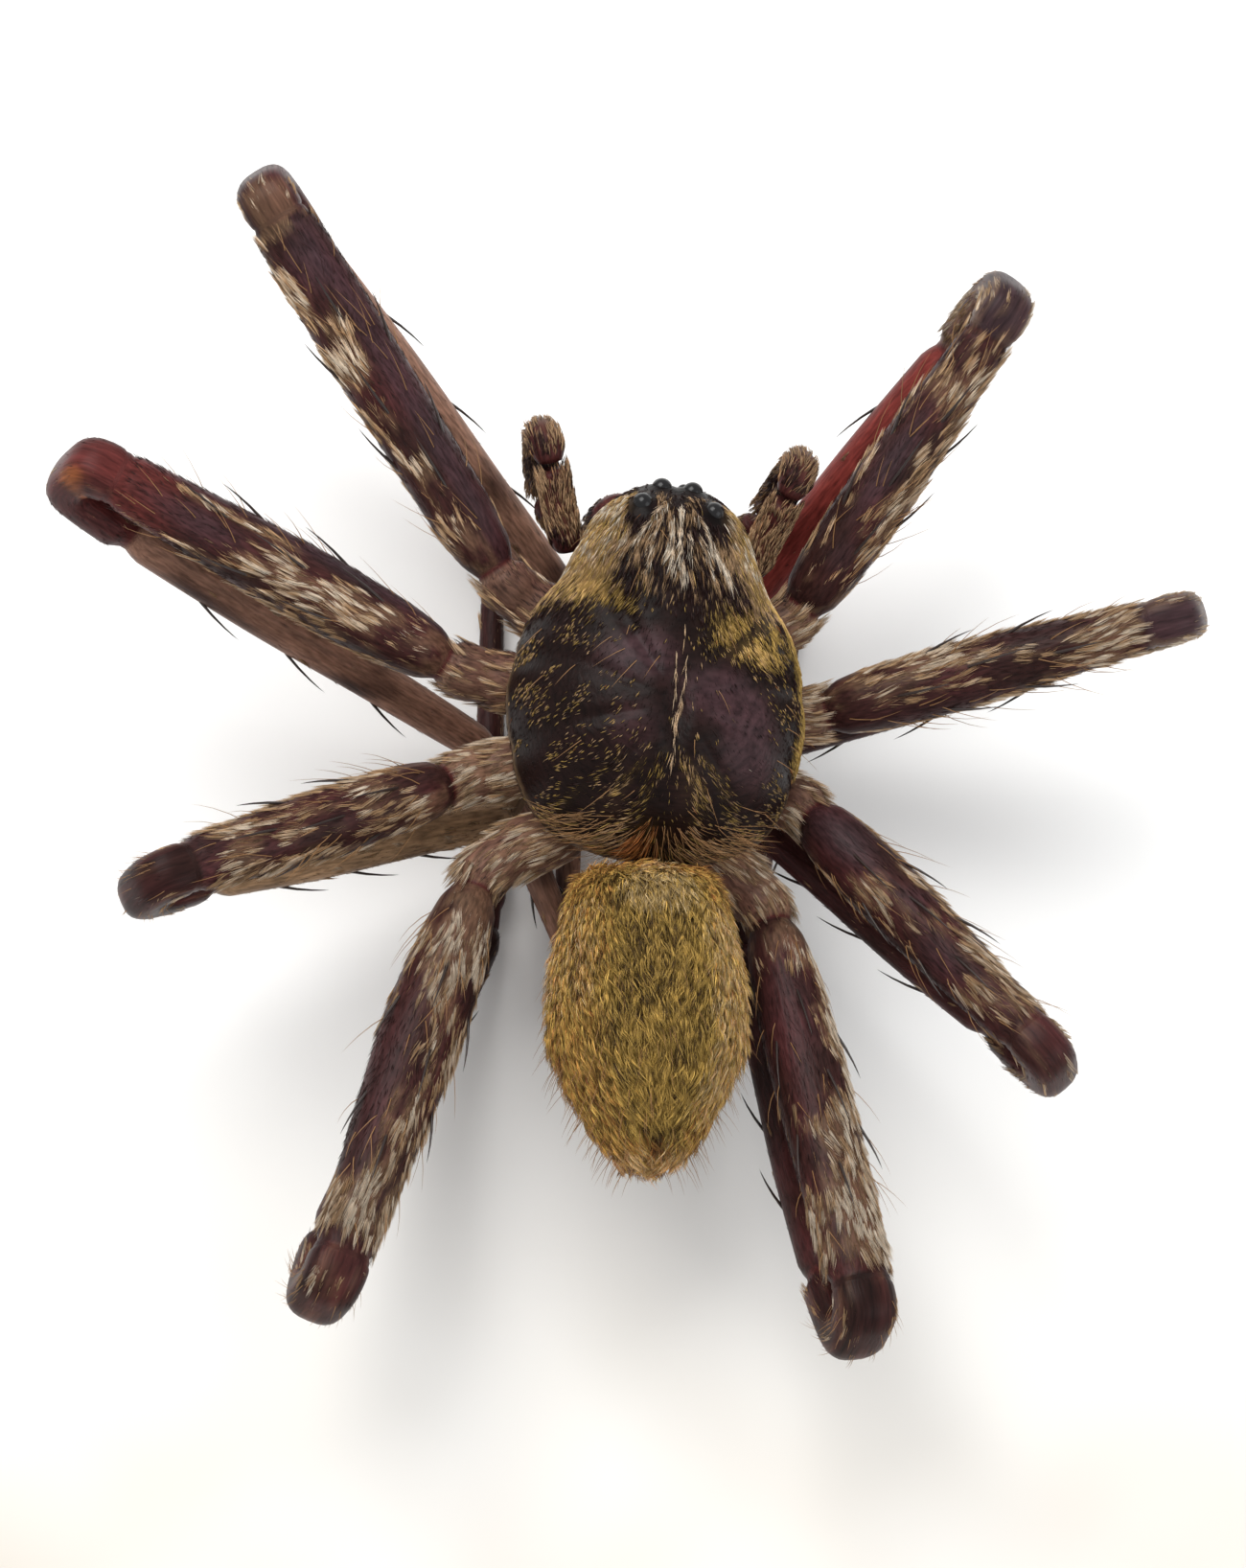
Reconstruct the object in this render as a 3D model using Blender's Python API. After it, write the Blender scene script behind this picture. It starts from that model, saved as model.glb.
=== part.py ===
"""A ctenus wandering spider: a still, life-size model with every leg folded back under the body.

Sizes are in millimetres and are turned into metres where a mesh is made. The spider faces +Y.
Its feet and the last leg joints rest on the floor, z = 0, and its body hangs over them,
rolled a little to its right. The origin lies on the floor under the middle of the outline.
"""
import math

import bpy
import bmesh
from mathutils import Matrix, Vector

MM = 0.001
GAP = 0.3                       # between two pieces that meet

# The middle of the whole outline, seen from above, from the middle of the carapace.
OUTLINE_MIDDLE = (-1.337, -1.918)

# The body's own frame lies on the plane of the carapace's rim.
BODY_HEIGHT = 10.45
BODY_SIDE = -0.12
BODY_ROLL = 7.0                 # degrees, left side up

# Carapace: distance ahead of the middle, half width, height over the rim, squareness.
CARAPACE = (
    (-5.60, 1.55, 0.75, 2.0),
    (-5.20, 3.10, 1.70, 2.0),
    (-4.40, 4.30, 3.00, 2.0),
    (-3.20, 5.00, 4.00, 2.0),
    (-1.80, 5.42, 4.50, 2.0),
    (0.00, 5.60, 4.68, 2.0),
    (1.40, 5.45, 4.72, 2.0),
    (2.60, 5.05, 4.75, 2.1),
    (3.80, 4.45, 4.75, 2.2),
    (4.90, 3.75, 4.68, 2.4),
    (5.90, 3.25, 4.45, 2.6),
    (6.80, 2.85, 4.00, 2.8),
    (7.40, 2.35, 3.40, 2.8),
    (7.80, 1.80, 2.60, 2.6),
)
CARAPACE_SIDES = 26
CARAPACE_FRONT = 7.95
CARAPACE_RIM = 0.30             # thickness of the rim's edge, below the rim's plane
RIM_TUCK = 0.96                 # breadth of the rim's underside
TIP_RISE = 0.45                 # height of the foremost point, as a share of the last section's
FOVEA = (-1.5, 0.35, 1.5, 0.45)  # place along the body, depth, length, half width

# Eyes: side, ahead, height over the rim and radius. Rows of two, four and two.
EYES = (
    (0.34, 7.84, 2.30, 0.26),
    (1.08, 7.46, 2.55, 0.20),
    (0.57, 7.46, 3.18, 0.40),
    (1.31, 6.50, 3.90, 0.40),
)

EYE_SIDES = 9
EYE_ROWS = 7

# How far the head's top leans to the left for each millimetre of height, and where the lean sets in.
HEAD_LEAN = 0.085
HEAD_LEAN_SPAN = (1.5, 6.0)

# Sternum with the lip ahead of it: distance ahead, half width.
STERNUM = ((-4.0, 0.45), (-3.4, 1.25), (-2.2, 1.75), (-0.4, 2.0), (1.2, 1.9), (2.4, 1.45), (3.2, 0.95),
           (4.0, 0.75), (4.6, 0.45))
STERNUM_TOP = -0.65
STERNUM_BOTTOM = -3.35
STERNUM_SIDES = 12
STERNUM_CORNERS = (0.6, 0.45)   # powers that square its section, across and up

# Abdomen: part of its length, half width, half height.
ABDOMEN_START = (-0.10, -6.0, 10.2)
ABDOMEN_END = (0.70, -16.8, 9.4)
ABDOMEN = ((0.015, 1.95, 1.60), (0.05, 2.50, 2.30), (0.12, 2.80, 2.75), (0.24, 3.14, 3.08),
           (0.40, 3.46, 3.22), (0.55, 3.50, 3.22), (0.68, 3.05, 2.95), (0.79, 2.42, 2.40),
           (0.88, 1.85, 1.80), (0.955, 1.15, 1.10))
ABDOMEN_SIDES = 22

# Spinnerets: side, place ahead of the abdomen's end, height from it, length, girth.
SPINNERETS = ((0.34, 2.25, -3.60, 0.95, 0.34), (0.40, 1.75, -3.15, 1.05, 0.30))
SPINNERET_ROOT = (2.15, -3.20, 0.70)     # place ahead, height and radius of the knob they share
SPINNERET_WAY = (0.3, -0.88, -0.48)      # where each points: outward, ahead, up
SPINNERET_CONE = ((0.0, 0.8, 0.8), (0.4, 1.0, 1.0), (0.85, 0.8, 0.8), (1.0, 0.45, 0.45))

# Legs: how broad the knee is, how much broader than the table the femur's middle and end are, hip on
# the sternum's side, femur's start, its azimuth, elevation and length, how far the folded shank swings
# round the femur, the joint where the shank ends, and the ends of metatarsus and tarsus. Azimuth is
# from +Y towards +X.
LEGS = {
    "L1": {"knee": 1.18, "stout": (1.0, 1.24), "hip": (-2.45, 3.45), "start": (-6.3, 5.5, 9.7),
           "turn": -38.5, "rise": 16.5, "femur": 14.6, "twist": 5.0,
           "shank_end": (-2.85, 7.6, 0.72), "metatarsus_end": (-2.2, -5.0, 0.46),
           "tarsus_end": (-2.0, -9.6, 0.36)},
    "L2": {"knee": 1.18, "stout": (1.10, 1.20), "hip": (-3.55, 1.15), "start": (-8.0, 1.7, 9.6),
           "turn": -69.6, "rise": 16.0, "femur": 13.25, "twist": 12.0,
           "shank_end": (-5.75, 0.75, 2.6), "metatarsus_end": (-1.3, -8.8, 2.6),
           "tarsus_end": (-1.0, -12.9, 2.5)},
    "L3": {"knee": 1.06, "stout": (1.0, 1.06), "hip": (-3.55, -1.60), "start": (-7.6, -3.1, 9.4),
           "turn": -119.0, "rise": 18.0, "femur": 10.3, "twist": -19.0,
           "shank_end": (-5.0, -2.6, 4.9), "metatarsus_end": (-1.9, 6.6, 3.5),
           "tarsus_end": (-1.6, 10.1, 2.6)},
    "L4": {"knee": 1.22, "stout": (1.20, 1.14), "hip": (-2.30, -4.15), "start": (-6.2, -7.05, 9.3),
           "turn": -165.2, "rise": 5.5, "femur": 14.2, "twist": -17.0,
           "shank_end": (-5.2, -5.9, 0.72), "metatarsus_end": (-5.9, 7.4, 0.46),
           "tarsus_end": (-6.0, 11.0, 0.36)},
    "R1": {"knee": 1.08, "stout": (1.0, 1.0), "hip": (2.30, 3.45), "start": (5.4, 5.6, 8.3),
           "turn": 32.3, "rise": 27.0, "femur": 11.95, "twist": -4.0,
           "shank_end": (2.1, 5.6, 0.72), "metatarsus_end": (2.2, -6.6, 0.46),
           "tarsus_end": (2.1, -11.0, 0.36)},
    "R2": {"knee": 1.02, "stout": (1.0, 1.0), "hip": (3.35, 1.15), "start": (6.6, 1.5, 8.2),
           "turn": 75.5, "rise": 20.0, "femur": 11.9, "twist": 7.0,
           "shank_end": (3.3, 1.4, 2.10), "metatarsus_end": (1.7, -9.6, 2.65),
           "tarsus_end": (1.5, -13.6, 2.4)},
    "R3": {"knee": 1.06, "stout": (1.0, 1.04), "hip": (3.35, -1.60), "start": (6.2, -2.8, 8.2),
           "turn": 136.6, "rise": 12.5, "femur": 11.2, "twist": 16.0,
           "shank_end": (3.75, -1.05, 4.05), "metatarsus_end": (0.3, 7.6, 3.98),
           "tarsus_end": (0.4, 10.9, 2.4)},
    "R4": {"knee": 1.22, "stout": (1.08, 1.22), "hip": (2.10, -4.15), "start": (4.8, -7.1, 8.2),
           "turn": 165.4, "rise": 10.5, "femur": 13.9, "twist": -13.0,
           "shank_end": (4.5, -5.85, 0.72), "metatarsus_end": (5.7, 7.3, 0.46),
           "tarsus_end": (5.8, 10.9, 0.36)},
}
HIP_DEPTH = -2.05               # of the hip's middle, below the rim's plane
HIP_BEND = 1.3                  # how far before the femur the hip turns into line with it
KNEE_BEND = 1.10                # radius of the patella's turn
KNEE_SQUARE = 3.2               # how boxy the outside of that turn is; 2 is round
PATELLA_SQUARE = 2.8            # the same for the patella's section
PATELLA_SIDES = 12
COXA_SIDES = 10
FEMUR_SIDES = 12
TIBIA_SIDES = 10
FOOT_SIDES = 8
PATELLA_TAIL = 1.7              # its straight length after the turn
SHIN_GAP = 0.45                 # patella to tibia, which meet at a slight angle
ANKLE_GAP = 0.92                # the same for tibia and foot, from the tibia's end point

# Part of the length, half width, half height.
COXA = ((0.0, 0.95, 0.95), (0.08, 1.15, 1.15), (0.45, 1.28, 1.26), (0.66, 1.10, 1.10), (0.74, 1.18, 1.20),
        (0.92, 1.15, 1.18), (1.0, 0.90, 0.95))
FEMUR = ((0.0, 0.92, 0.95), (0.04, 1.16, 1.20), (0.16, 1.32, 1.42), (0.38, 1.36, 1.45), (0.62, 1.26, 1.30),
         (0.84, 1.12, 1.12), (0.985, 1.05, 1.02), (1.0, 0.96, 0.94))
STOUT_SPAN = (0.38, 0.84)       # the parts of the femur where its own breadths are reached
PATELLA = ((0.0, 0.94, 0.90), (0.03, 1.00, 0.93), (0.10, 1.01, 0.92), (0.165, 1.00, 0.90), (0.23, 1.00, 0.90),
           (0.33, 0.99, 0.90), (0.43, 0.99, 0.90), (0.49, 0.99, 0.91), (0.56, 1.00, 0.93), (0.66, 1.00, 0.95),
           (0.93, 0.97, 0.94), (1.0, 0.84, 0.82))
TIBIA = ((0.0, 0.86, 0.84), (0.04, 1.06, 1.04), (0.30, 1.10, 1.08), (0.65, 0.96, 0.95), (0.96, 0.82, 0.82),
         (1.0, 0.62, 0.62))
METATARSUS = ((0.0, 0.58, 0.58), (0.04, 0.76, 0.76), (0.30, 0.70, 0.70), (0.70, 0.58, 0.58),
              (0.93, 0.52, 0.54))
TARSUS = ((0.0, 0.50, 0.52), (0.20, 0.52, 0.54), (0.75, 0.46, 0.48), (0.94, 0.36, 0.38), (1.0, 0.20, 0.20))

# Spines: part of the segment's length, angle round it from its outer side, length.
FEMUR_SPINES = ((0.24, 8.0, 2.1), (0.47, -10.0, 2.3), (0.72, 6.0, 2.0), (0.36, 62.0, 2.0), (0.62, 66.0, 1.9),
                (0.34, -64.0, 2.0), (0.60, -66.0, 1.9))
TIBIA_SPINES = ((0.22, 112.0, 2.0), (0.22, -112.0, 2.0), (0.46, 118.0, 2.1), (0.46, -118.0, 2.1),
                (0.70, 118.0, 1.9), (0.70, -118.0, 1.9))
FOOT_SPINES = ((0.18, 92.0, 1.5), (0.18, -92.0, 1.5), (0.52, 92.0, 1.4), (0.52, -92.0, 1.4))
SPINE_GIRTH = 0.26              # half thickness at the surface
SPINE_ROOT = 0.45               # sunk under the surface
SPINE_FLARE = 1.12              # part of its girth at the sunk root
SPINE_WAIST = 0.66              # and halfway along
SPINE_SIDES = 4
SPINE_LEAN = 19.0               # degrees off the segment, tip towards the foot

# Palps: femur's start and end, the knee's drop, tibia's end and tarsus's end.
PALPS = {
    "L": {"root": (-2.75, 6.05), "start": (-3.55, 6.5, 9.25), "knee": (-4.45, 8.95, 11.0),
          "tibia_end": (-4.6, 9.8, 6.9), "tarsus_end": (-3.6, 9.2, 4.4)},
    "R": {"root": (2.75, 6.05), "start": (3.25, 6.5, 8.5), "knee": (4.25, 8.6, 10.7),
          "tibia_end": (3.9, 9.7, 6.9), "tarsus_end": (2.9, 9.1, 4.5)},
}
PALP_GIRTH = 0.72
PALP_SIDES = 10
PALP_BEND = 0.87                # radius of the turn at its knee
PALP_MAXILLA_ROOT = (0.85, 5.35, -2.0)
PALP_ROOT_DEPTH = -1.75
PALP_MAXILLA = ((0.0, 0.45, 0.7), (0.2, 0.62, 0.95), (0.6, 0.62, 0.85), (1.0, 0.45, 0.5))
PALP_FEMUR = ((0.0, 0.75, 0.75), (0.08, 1.0, 1.0), (0.5, 1.0, 1.0), (0.94, 1.0, 1.0), (1.0, 0.8, 0.8))
PALP_TIBIA = ((0.0, 0.8, 0.8), (0.05, 1.0, 1.0), (0.13, 1.04, 0.98), (0.22, 1.04, 0.98), (0.34, 1.0, 1.0),
              (0.66, 1.0, 1.0), (0.96, 0.95, 0.95), (1.0, 0.75, 0.75))
PALP_TARSUS = ((0.0, 0.75, 0.75), (0.12, 0.95, 0.95), (0.5, 0.95, 0.95), (0.85, 0.6, 0.6), (1.0, 0.25, 0.25))
PALP_TARSUS_STEP = (0.35, 0.25)  # the tarsus starts below the tibia's end and ahead of its gap

CHELICERA = ((0.0, 1.05, 0.95), (0.08, 1.22, 1.10), (0.35, 1.28, 1.22), (0.65, 1.10, 1.05),
             (0.92, 0.85, 0.82), (1.0, 0.62, 0.60))
CHELICERA_SIDE = 1.45
CHELICERA_TOP = (7.72, -0.62)   # ahead, below the rim
CHELICERA_END = (7.80, -4.55)
CHELICERA_SIDES = 12
CHELICERA_BOW = 0.12

# Fangs: each folds inward under its chelicera's end.
FANG_LENGTH = 1.9
FANG_STEPS = 7
FANG_SIDES = 8
FANG_TURN = (20.0, 62.0)        # degrees: at the root, and how much more at the tip
FANG_REACH = (0.1, 0.9)         # ahead of the end: at the root, and how much more at the tip
FANG_DROP = (0.32, 0.12)        # below the gap, and how much more halfway
FANG_INWARD = 0.62              # part of its length that it reaches inward
FANG_TAPER = 0.72
FANG_GIRTH = 0.32
FANG_SWEEP = 0.8

PEDICEL_GIRTH = 0.55
PEDICEL_SIDES = 10
PEDICEL_START = (0.0, -4.55, -1.84)   # in the body's frame
PEDICEL_END = (-0.05, 0.48, -1.15)   # from the abdomen's front
PEDICEL = ((0.0, 0.8, 0.8), (0.5, 1.0, 1.0), (1.0, 0.8, 0.8))

COLLECTION = "Wandering spider"
COLOURS = {
    "cuticle": (0.105, 0.050, 0.048), "coat": (0.215, 0.150, 0.075), "under": (0.16, 0.10, 0.075),
    "eye": (0.010, 0.009, 0.010), "fang": (0.060, 0.018, 0.012),
}


def body_matrix():
    """Where the body's own frame lies."""
    lift = Matrix.Translation((BODY_SIDE, 0.0, BODY_HEIGHT))
    return lift @ Matrix.Rotation(math.radians(BODY_ROLL), 4, "Y")


BODY = body_matrix()


def on_body(side, ahead, up):
    """A point of the body's own frame, in the model's frame."""
    return BODY @ Vector((side, ahead, up))


def on_head(side, ahead, up):
    """A point of the carapace, whose head leans to one side."""
    low, high = HEAD_LEAN_SPAN
    share = min(max((ahead - low) / (high - low), 0.0), 1.0)
    share = share * share * (3.0 - 2.0 * share)
    return on_body(side - HEAD_LEAN * up * share, ahead, up)


def heading(turn, rise):
    """A unit vector from an azimuth and an elevation in degrees."""
    turn = math.radians(turn)
    rise = math.radians(rise)
    return Vector((math.sin(turn) * math.cos(rise), math.cos(turn) * math.cos(rise), math.sin(rise)))


def clear_scene():
    for old in list(bpy.data.objects):
        bpy.data.objects.remove(old)


def make_material(name, colour, roughness):
    material = bpy.data.materials.new(name)
    material.use_nodes = True
    shader = material.node_tree.nodes["Principled BSDF"]
    shader.inputs["Base Color"].default_value = (*colour, 1.0)
    shader.inputs["Metallic"].default_value = 0.0
    shader.inputs["Roughness"].default_value = roughness
    return material


def add_object(name, mesh, colour, collection, roughness=0.6):
    for polygon in mesh.polygons:
        polygon.use_smooth = True
    thing = bpy.data.objects.new(name, mesh)
    thing.data.materials.append(make_material(name, COLOURS[colour], roughness))
    collection.objects.link(thing)
    return thing


def loft_mesh(name, rings, first_tip=None, last_tip=None):
    """Skin rings of points, in order, into one closed mesh. A tip closes its end as a fan."""
    bm = bmesh.new()
    loops = []
    for ring in rings:
        loop = []
        for point in ring:
            x = (point[0] - OUTLINE_MIDDLE[0]) * MM
            y = (point[1] - OUTLINE_MIDDLE[1]) * MM
            loop.append(bm.verts.new((x, y, max(point[2], 0.0) * MM)))
        loops.append(loop)
    sides = len(loops[0])
    for here, there in zip(loops, loops[1:]):
        for i in range(sides):
            j = (i + 1) % sides
            bm.faces.new((here[i], here[j], there[j], there[i]))
    for loop, tip in ((loops[0], first_tip), (loops[-1], last_tip)):
        if tip is None:
            bm.faces.new(loop)
            continue
        x = (tip[0] - OUTLINE_MIDDLE[0]) * MM
        y = (tip[1] - OUTLINE_MIDDLE[1]) * MM
        centre = bm.verts.new((x, y, max(tip[2], 0.0) * MM))
        for i in range(sides):
            bm.faces.new((loop[i], loop[(i + 1) % sides], centre))
    bmesh.ops.recalc_face_normals(bm, faces=bm.faces)
    bmesh.ops.triangulate(bm, faces=bm.faces)
    mesh = bpy.data.meshes.new(name)
    bm.to_mesh(mesh)
    bm.free()
    return mesh


def oval(centre, side, up, half_width, half_height, sides):
    """One ring of points round a path."""
    ring = []
    shift = 0.5 if sides % 4 == 0 else 0.0
    for i in range(sides):
        angle = 2.0 * math.pi * (i + shift) / sides
        ring.append(centre + side * (half_width * math.cos(angle)) + up * (half_height * math.sin(angle)))
    return ring


def knee_ring(centre, side, outer, half_width, inner_height, outer_height):
    """One squarish ring of the patella, which reaches farther on its outer side."""
    ring = []
    for i in range(PATELLA_SIDES):
        angle = 2.0 * math.pi * (i + 0.5) / PATELLA_SIDES
        across = math.copysign(abs(math.cos(angle)) ** (2.0 / PATELLA_SQUARE), math.cos(angle))
        up = math.copysign(abs(math.sin(angle)) ** (2.0 / PATELLA_SQUARE), math.sin(angle))
        height = outer_height if up > 0.0 else inner_height
        ring.append(centre + side * (half_width * across) + outer * (height * up))
    return ring


def between(table, part):
    """Half width and half height at a part of a segment's length."""
    for (t0, w0, h0), (t1, w1, h1) in zip(table, table[1:]):
        if part <= t1:
            share = (part - t0) / (t1 - t0)
            return w0 + (w1 - w0) * share, h0 + (h1 - h0) * share
    return table[-1][1:]


def femur_table(leg):
    """The femur's section, broader at its middle and its end by the leg's own shares."""
    middle, end = leg["stout"]
    low, high = STOUT_SPAN
    table = []
    for part, half_width, half_height in FEMUR:
        if part < low:
            share = 1.0 + (middle - 1.0) * part / low
        else:
            share = middle + (end - middle) * min((part - low) / (high - low), 1.0)
        table.append((part, half_width * share, half_height))
    return table


def straight_rings(start, end, side, table, girth, sides, bow=0.0):
    """Rings along a straight or slightly bowed segment."""
    along = end - start
    up = side.cross(along).normalized()
    side = along.cross(up).normalized()
    rings = []
    for part, half_width, half_height in table:
        centre = start + along * part + up * (bow * math.sin(math.pi * part))
        rings.append(oval(centre, side, up, half_width * girth, half_height * girth, sides))
    return rings


def curved_rings(start, middle, end, side, table, sides):
    """Rings along a path that leaves the start for the middle point and reaches the end in line with it."""
    rings = []
    for part, half_width, half_height in table:
        rest = 1.0 - part
        centre = start * rest * rest + middle * (2.0 * rest * part) + end * part * part
        along = ((middle - start) * rest + (end - middle) * part).normalized()
        up = side.cross(along).normalized()
        rings.append(oval(centre, along.cross(up), up, half_width, half_height, sides))
    return rings


class Bend:
    """The turn at a knee: an arc that leaves a femur in line and runs on, straight, to a far point."""

    def __init__(self, start, way, target, radius):
        self.start = start
        self.way = way
        self.radius = radius
        self.side = way.cross(target - start).normalized()
        self.inward = self.side.cross(way).normalized()
        centre = start + self.inward * radius
        reach = target - centre
        ahead = reach.dot(way)
        inside = reach.dot(self.inward)
        facing = math.atan2(ahead, -inside) % (2.0 * math.pi)
        self.angle = facing - math.acos(radius / reach.length)

    def at(self, length):
        """The point and direction at a length along the arc and the line after it."""
        turned = min(length / self.radius, self.angle)
        out = self.way * math.sin(turned) + self.inward * (1.0 - math.cos(turned))
        heading_there = self.way * math.cos(turned) + self.inward * math.sin(turned)
        rest = length - turned * self.radius
        return self.start + out * self.radius + heading_there * rest, heading_there

    def arc_length(self):
        return self.angle * self.radius

    def boxy_reach(self, length, half_height):
        """How far the outside lies from the path, where the turn's outside is a rounded box."""
        around = math.pi * min(length / self.arc_length(), 1.0)
        sides = abs(math.cos(around)) ** KNEE_SQUARE + abs(math.sin(around)) ** KNEE_SQUARE
        return (self.radius + half_height) / sides ** (1.0 / KNEE_SQUARE) - self.radius


def keep_largest(mesh):
    """Drop every closed surface but the largest one."""
    bm = bmesh.new()
    bm.from_mesh(mesh)
    waiting = set(bm.faces)
    groups = []
    while waiting:
        group = set()
        front = [waiting.pop()]
        while front:
            face = front.pop()
            group.add(face)
            for edge in face.edges:
                for other in edge.link_faces:
                    if other in waiting:
                        waiting.remove(other)
                        front.append(other)
        groups.append(group)
    groups.sort(key=len)
    for group in groups[:-1]:
        bmesh.ops.delete(bm, geom=list(group), context="FACES")
    bmesh.ops.triangulate(bm, faces=bm.faces)
    bm.to_mesh(mesh)
    bm.free()


def fuse(thing, pieces):
    """Join closed meshes into an object with one union."""
    extras = bpy.data.collections.new("Extras")
    bpy.context.scene.collection.children.link(extras)
    for mesh in pieces:
        extras.objects.link(bpy.data.objects.new("extra", mesh))
    union = thing.modifiers.new("Union", "BOOLEAN")
    union.operation = "UNION"
    union.operand_type = "COLLECTION"
    union.collection = extras
    union.solver = "MANIFOLD"
    graph = bpy.context.evaluated_depsgraph_get()
    joined = bpy.data.meshes.new_from_object(thing.evaluated_get(graph))
    thing.modifiers.remove(union)
    thing.data = joined
    for extra in list(extras.objects):
        bpy.data.objects.remove(extra)
    bpy.data.collections.remove(extras)
    keep_largest(joined)


def ball_mesh(centre, radius):
    bm = bmesh.new()
    place = Matrix.Translation(((centre[0] - OUTLINE_MIDDLE[0]) * MM, (centre[1] - OUTLINE_MIDDLE[1]) * MM,
                                centre[2] * MM))
    bmesh.ops.create_uvsphere(bm, u_segments=EYE_SIDES, v_segments=EYE_ROWS, radius=radius * MM, matrix=place)
    mesh = bpy.data.meshes.new("ball")
    bm.to_mesh(mesh)
    bm.free()
    return mesh


def spine_mesh(root, way, length):
    """A tapered spike whose root is sunk under the surface point."""
    side = way.orthogonal().normalized()
    up = way.cross(side)
    rings = []
    for reach, share in ((-SPINE_ROOT, SPINE_FLARE), (length * 0.5, SPINE_WAIST)):
        girth = SPINE_GIRTH * share
        rings.append(oval(root + way * reach, side, up, girth, girth, SPINE_SIDES))
    return loft_mesh("spine", rings, last_tip=root + way * length)


def spines_on(start, end, outer, table, spots):
    """Spines round a straight segment; angles are counted from its outer side."""
    along = end - start
    side = along.cross(outer).normalized()
    up = side.cross(along).normalized()
    lean = math.radians(SPINE_LEAN)
    pieces = []
    for part, angle, length in spots:
        angle = math.radians(angle)
        half_width, half_height = between(table, part)
        away = up * math.cos(angle) + side * math.sin(angle)
        root = start + along * part
        root += up * (half_height * math.cos(angle)) + side * (half_width * math.sin(angle))
        way = along.normalized() * math.cos(lean) + away * math.sin(lean)
        pieces.append(spine_mesh(root, way, length))
    return pieces


def make_carapace(collection):
    """The domed shield over head and thorax."""
    rings = []
    for ahead, half_width, height, square in CARAPACE:
        ring = []
        for i in range(CARAPACE_SIDES + 1):
            lean = math.pi * i / CARAPACE_SIDES
            across = math.cos(lean)
            side = half_width * math.copysign(abs(across) ** (2.0 / square), across)
            up = height * abs(math.sin(lean)) ** (2.0 / square)
            behind, depth, length, breadth = FOVEA
            dip = math.exp(-((ahead - behind) / length) ** 2 - (side / breadth) ** 2)
            ring.append(on_head(side, ahead, up - depth * dip))
        for share in (-RIM_TUCK, RIM_TUCK):
            ring.append(on_head(half_width * share, ahead, -CARAPACE_RIM))
        rings.append(ring)
    tip = on_head(0.0, CARAPACE_FRONT, CARAPACE[-1][2] * TIP_RISE)
    mesh = loft_mesh("carapace", rings, last_tip=tip)
    carapace = add_object("carapace", mesh, "cuticle", collection, 0.45)
    eyes = []
    for side, ahead, up, radius in EYES:
        for mirror in (-1.0, 1.0):
            eyes.append(ball_mesh(on_head(side * mirror, ahead, up), radius))
    fuse(carapace, eyes)
    return carapace


def make_sternum(collection):
    """The plate between the hips, with the lip ahead of it."""
    rings = []
    for ahead, half_width in STERNUM:
        middle = (STERNUM_TOP + STERNUM_BOTTOM) / 2.0
        half_height = (STERNUM_TOP - STERNUM_BOTTOM) / 2.0
        ring = []
        for i in range(STERNUM_SIDES):
            angle = 2.0 * math.pi * (i + 0.5) / STERNUM_SIDES
            across = math.copysign(abs(math.cos(angle)) ** STERNUM_CORNERS[0], math.cos(angle))
            up = math.copysign(abs(math.sin(angle)) ** STERNUM_CORNERS[1], math.sin(angle))
            ring.append(on_body(half_width * across, ahead, middle + half_height * up))
        rings.append(ring)
    return add_object("sternum", loft_mesh("sternum", rings), "under", collection)


def make_abdomen(collection):
    start = Vector(ABDOMEN_START)
    end = Vector(ABDOMEN_END)
    side = BODY.to_3x3() @ Vector((1.0, 0.0, 0.0))
    rings = straight_rings(start, end, side, ABDOMEN, 1.0, ABDOMEN_SIDES)
    mesh = loft_mesh("abdomen", rings, first_tip=start, last_tip=end)
    return add_object("abdomen", mesh, "coat", collection, 0.8)


def make_spinnerets(collection):
    """The knob under the abdomen's end with its two pairs of spinnerets."""
    end = Vector(ABDOMEN_END)
    ahead, up, radius = SPINNERET_ROOT
    knob = ball_mesh(end + Vector((0.0, ahead, up)), radius)
    spinnerets = add_object("spinnerets", knob, "under", collection)
    cones = []
    for side, ahead, up, length, girth in SPINNERETS:
        for mirror in (-1.0, 1.0):
            start = end + Vector((side * mirror, ahead, up))
            outward, ahead_way, up_way = SPINNERET_WAY
            tip = start + Vector((side * mirror * outward, length * ahead_way, length * up_way))
            rings = straight_rings(start, tip, Vector((1.0, 0.0, 0.0)), SPINNERET_CONE, girth, FOOT_SIDES)
            cones.append(loft_mesh("cone", rings))
    fuse(spinnerets, cones)
    return spinnerets


def make_pedicel(collection):
    """The short stalk between the two halves of the body."""
    start = on_body(*PEDICEL_START)
    end = Vector(ABDOMEN_START) + Vector(PEDICEL_END)
    rings = straight_rings(start, end, Vector((1.0, 0.0, 0.0)), PEDICEL, PEDICEL_GIRTH, PEDICEL_SIDES)
    return add_object("pedicel", loft_mesh("pedicel", rings), "under", collection)


def make_legs(collection):
    for name, leg in LEGS.items():
        make_leg(name, leg, collection)


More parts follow.
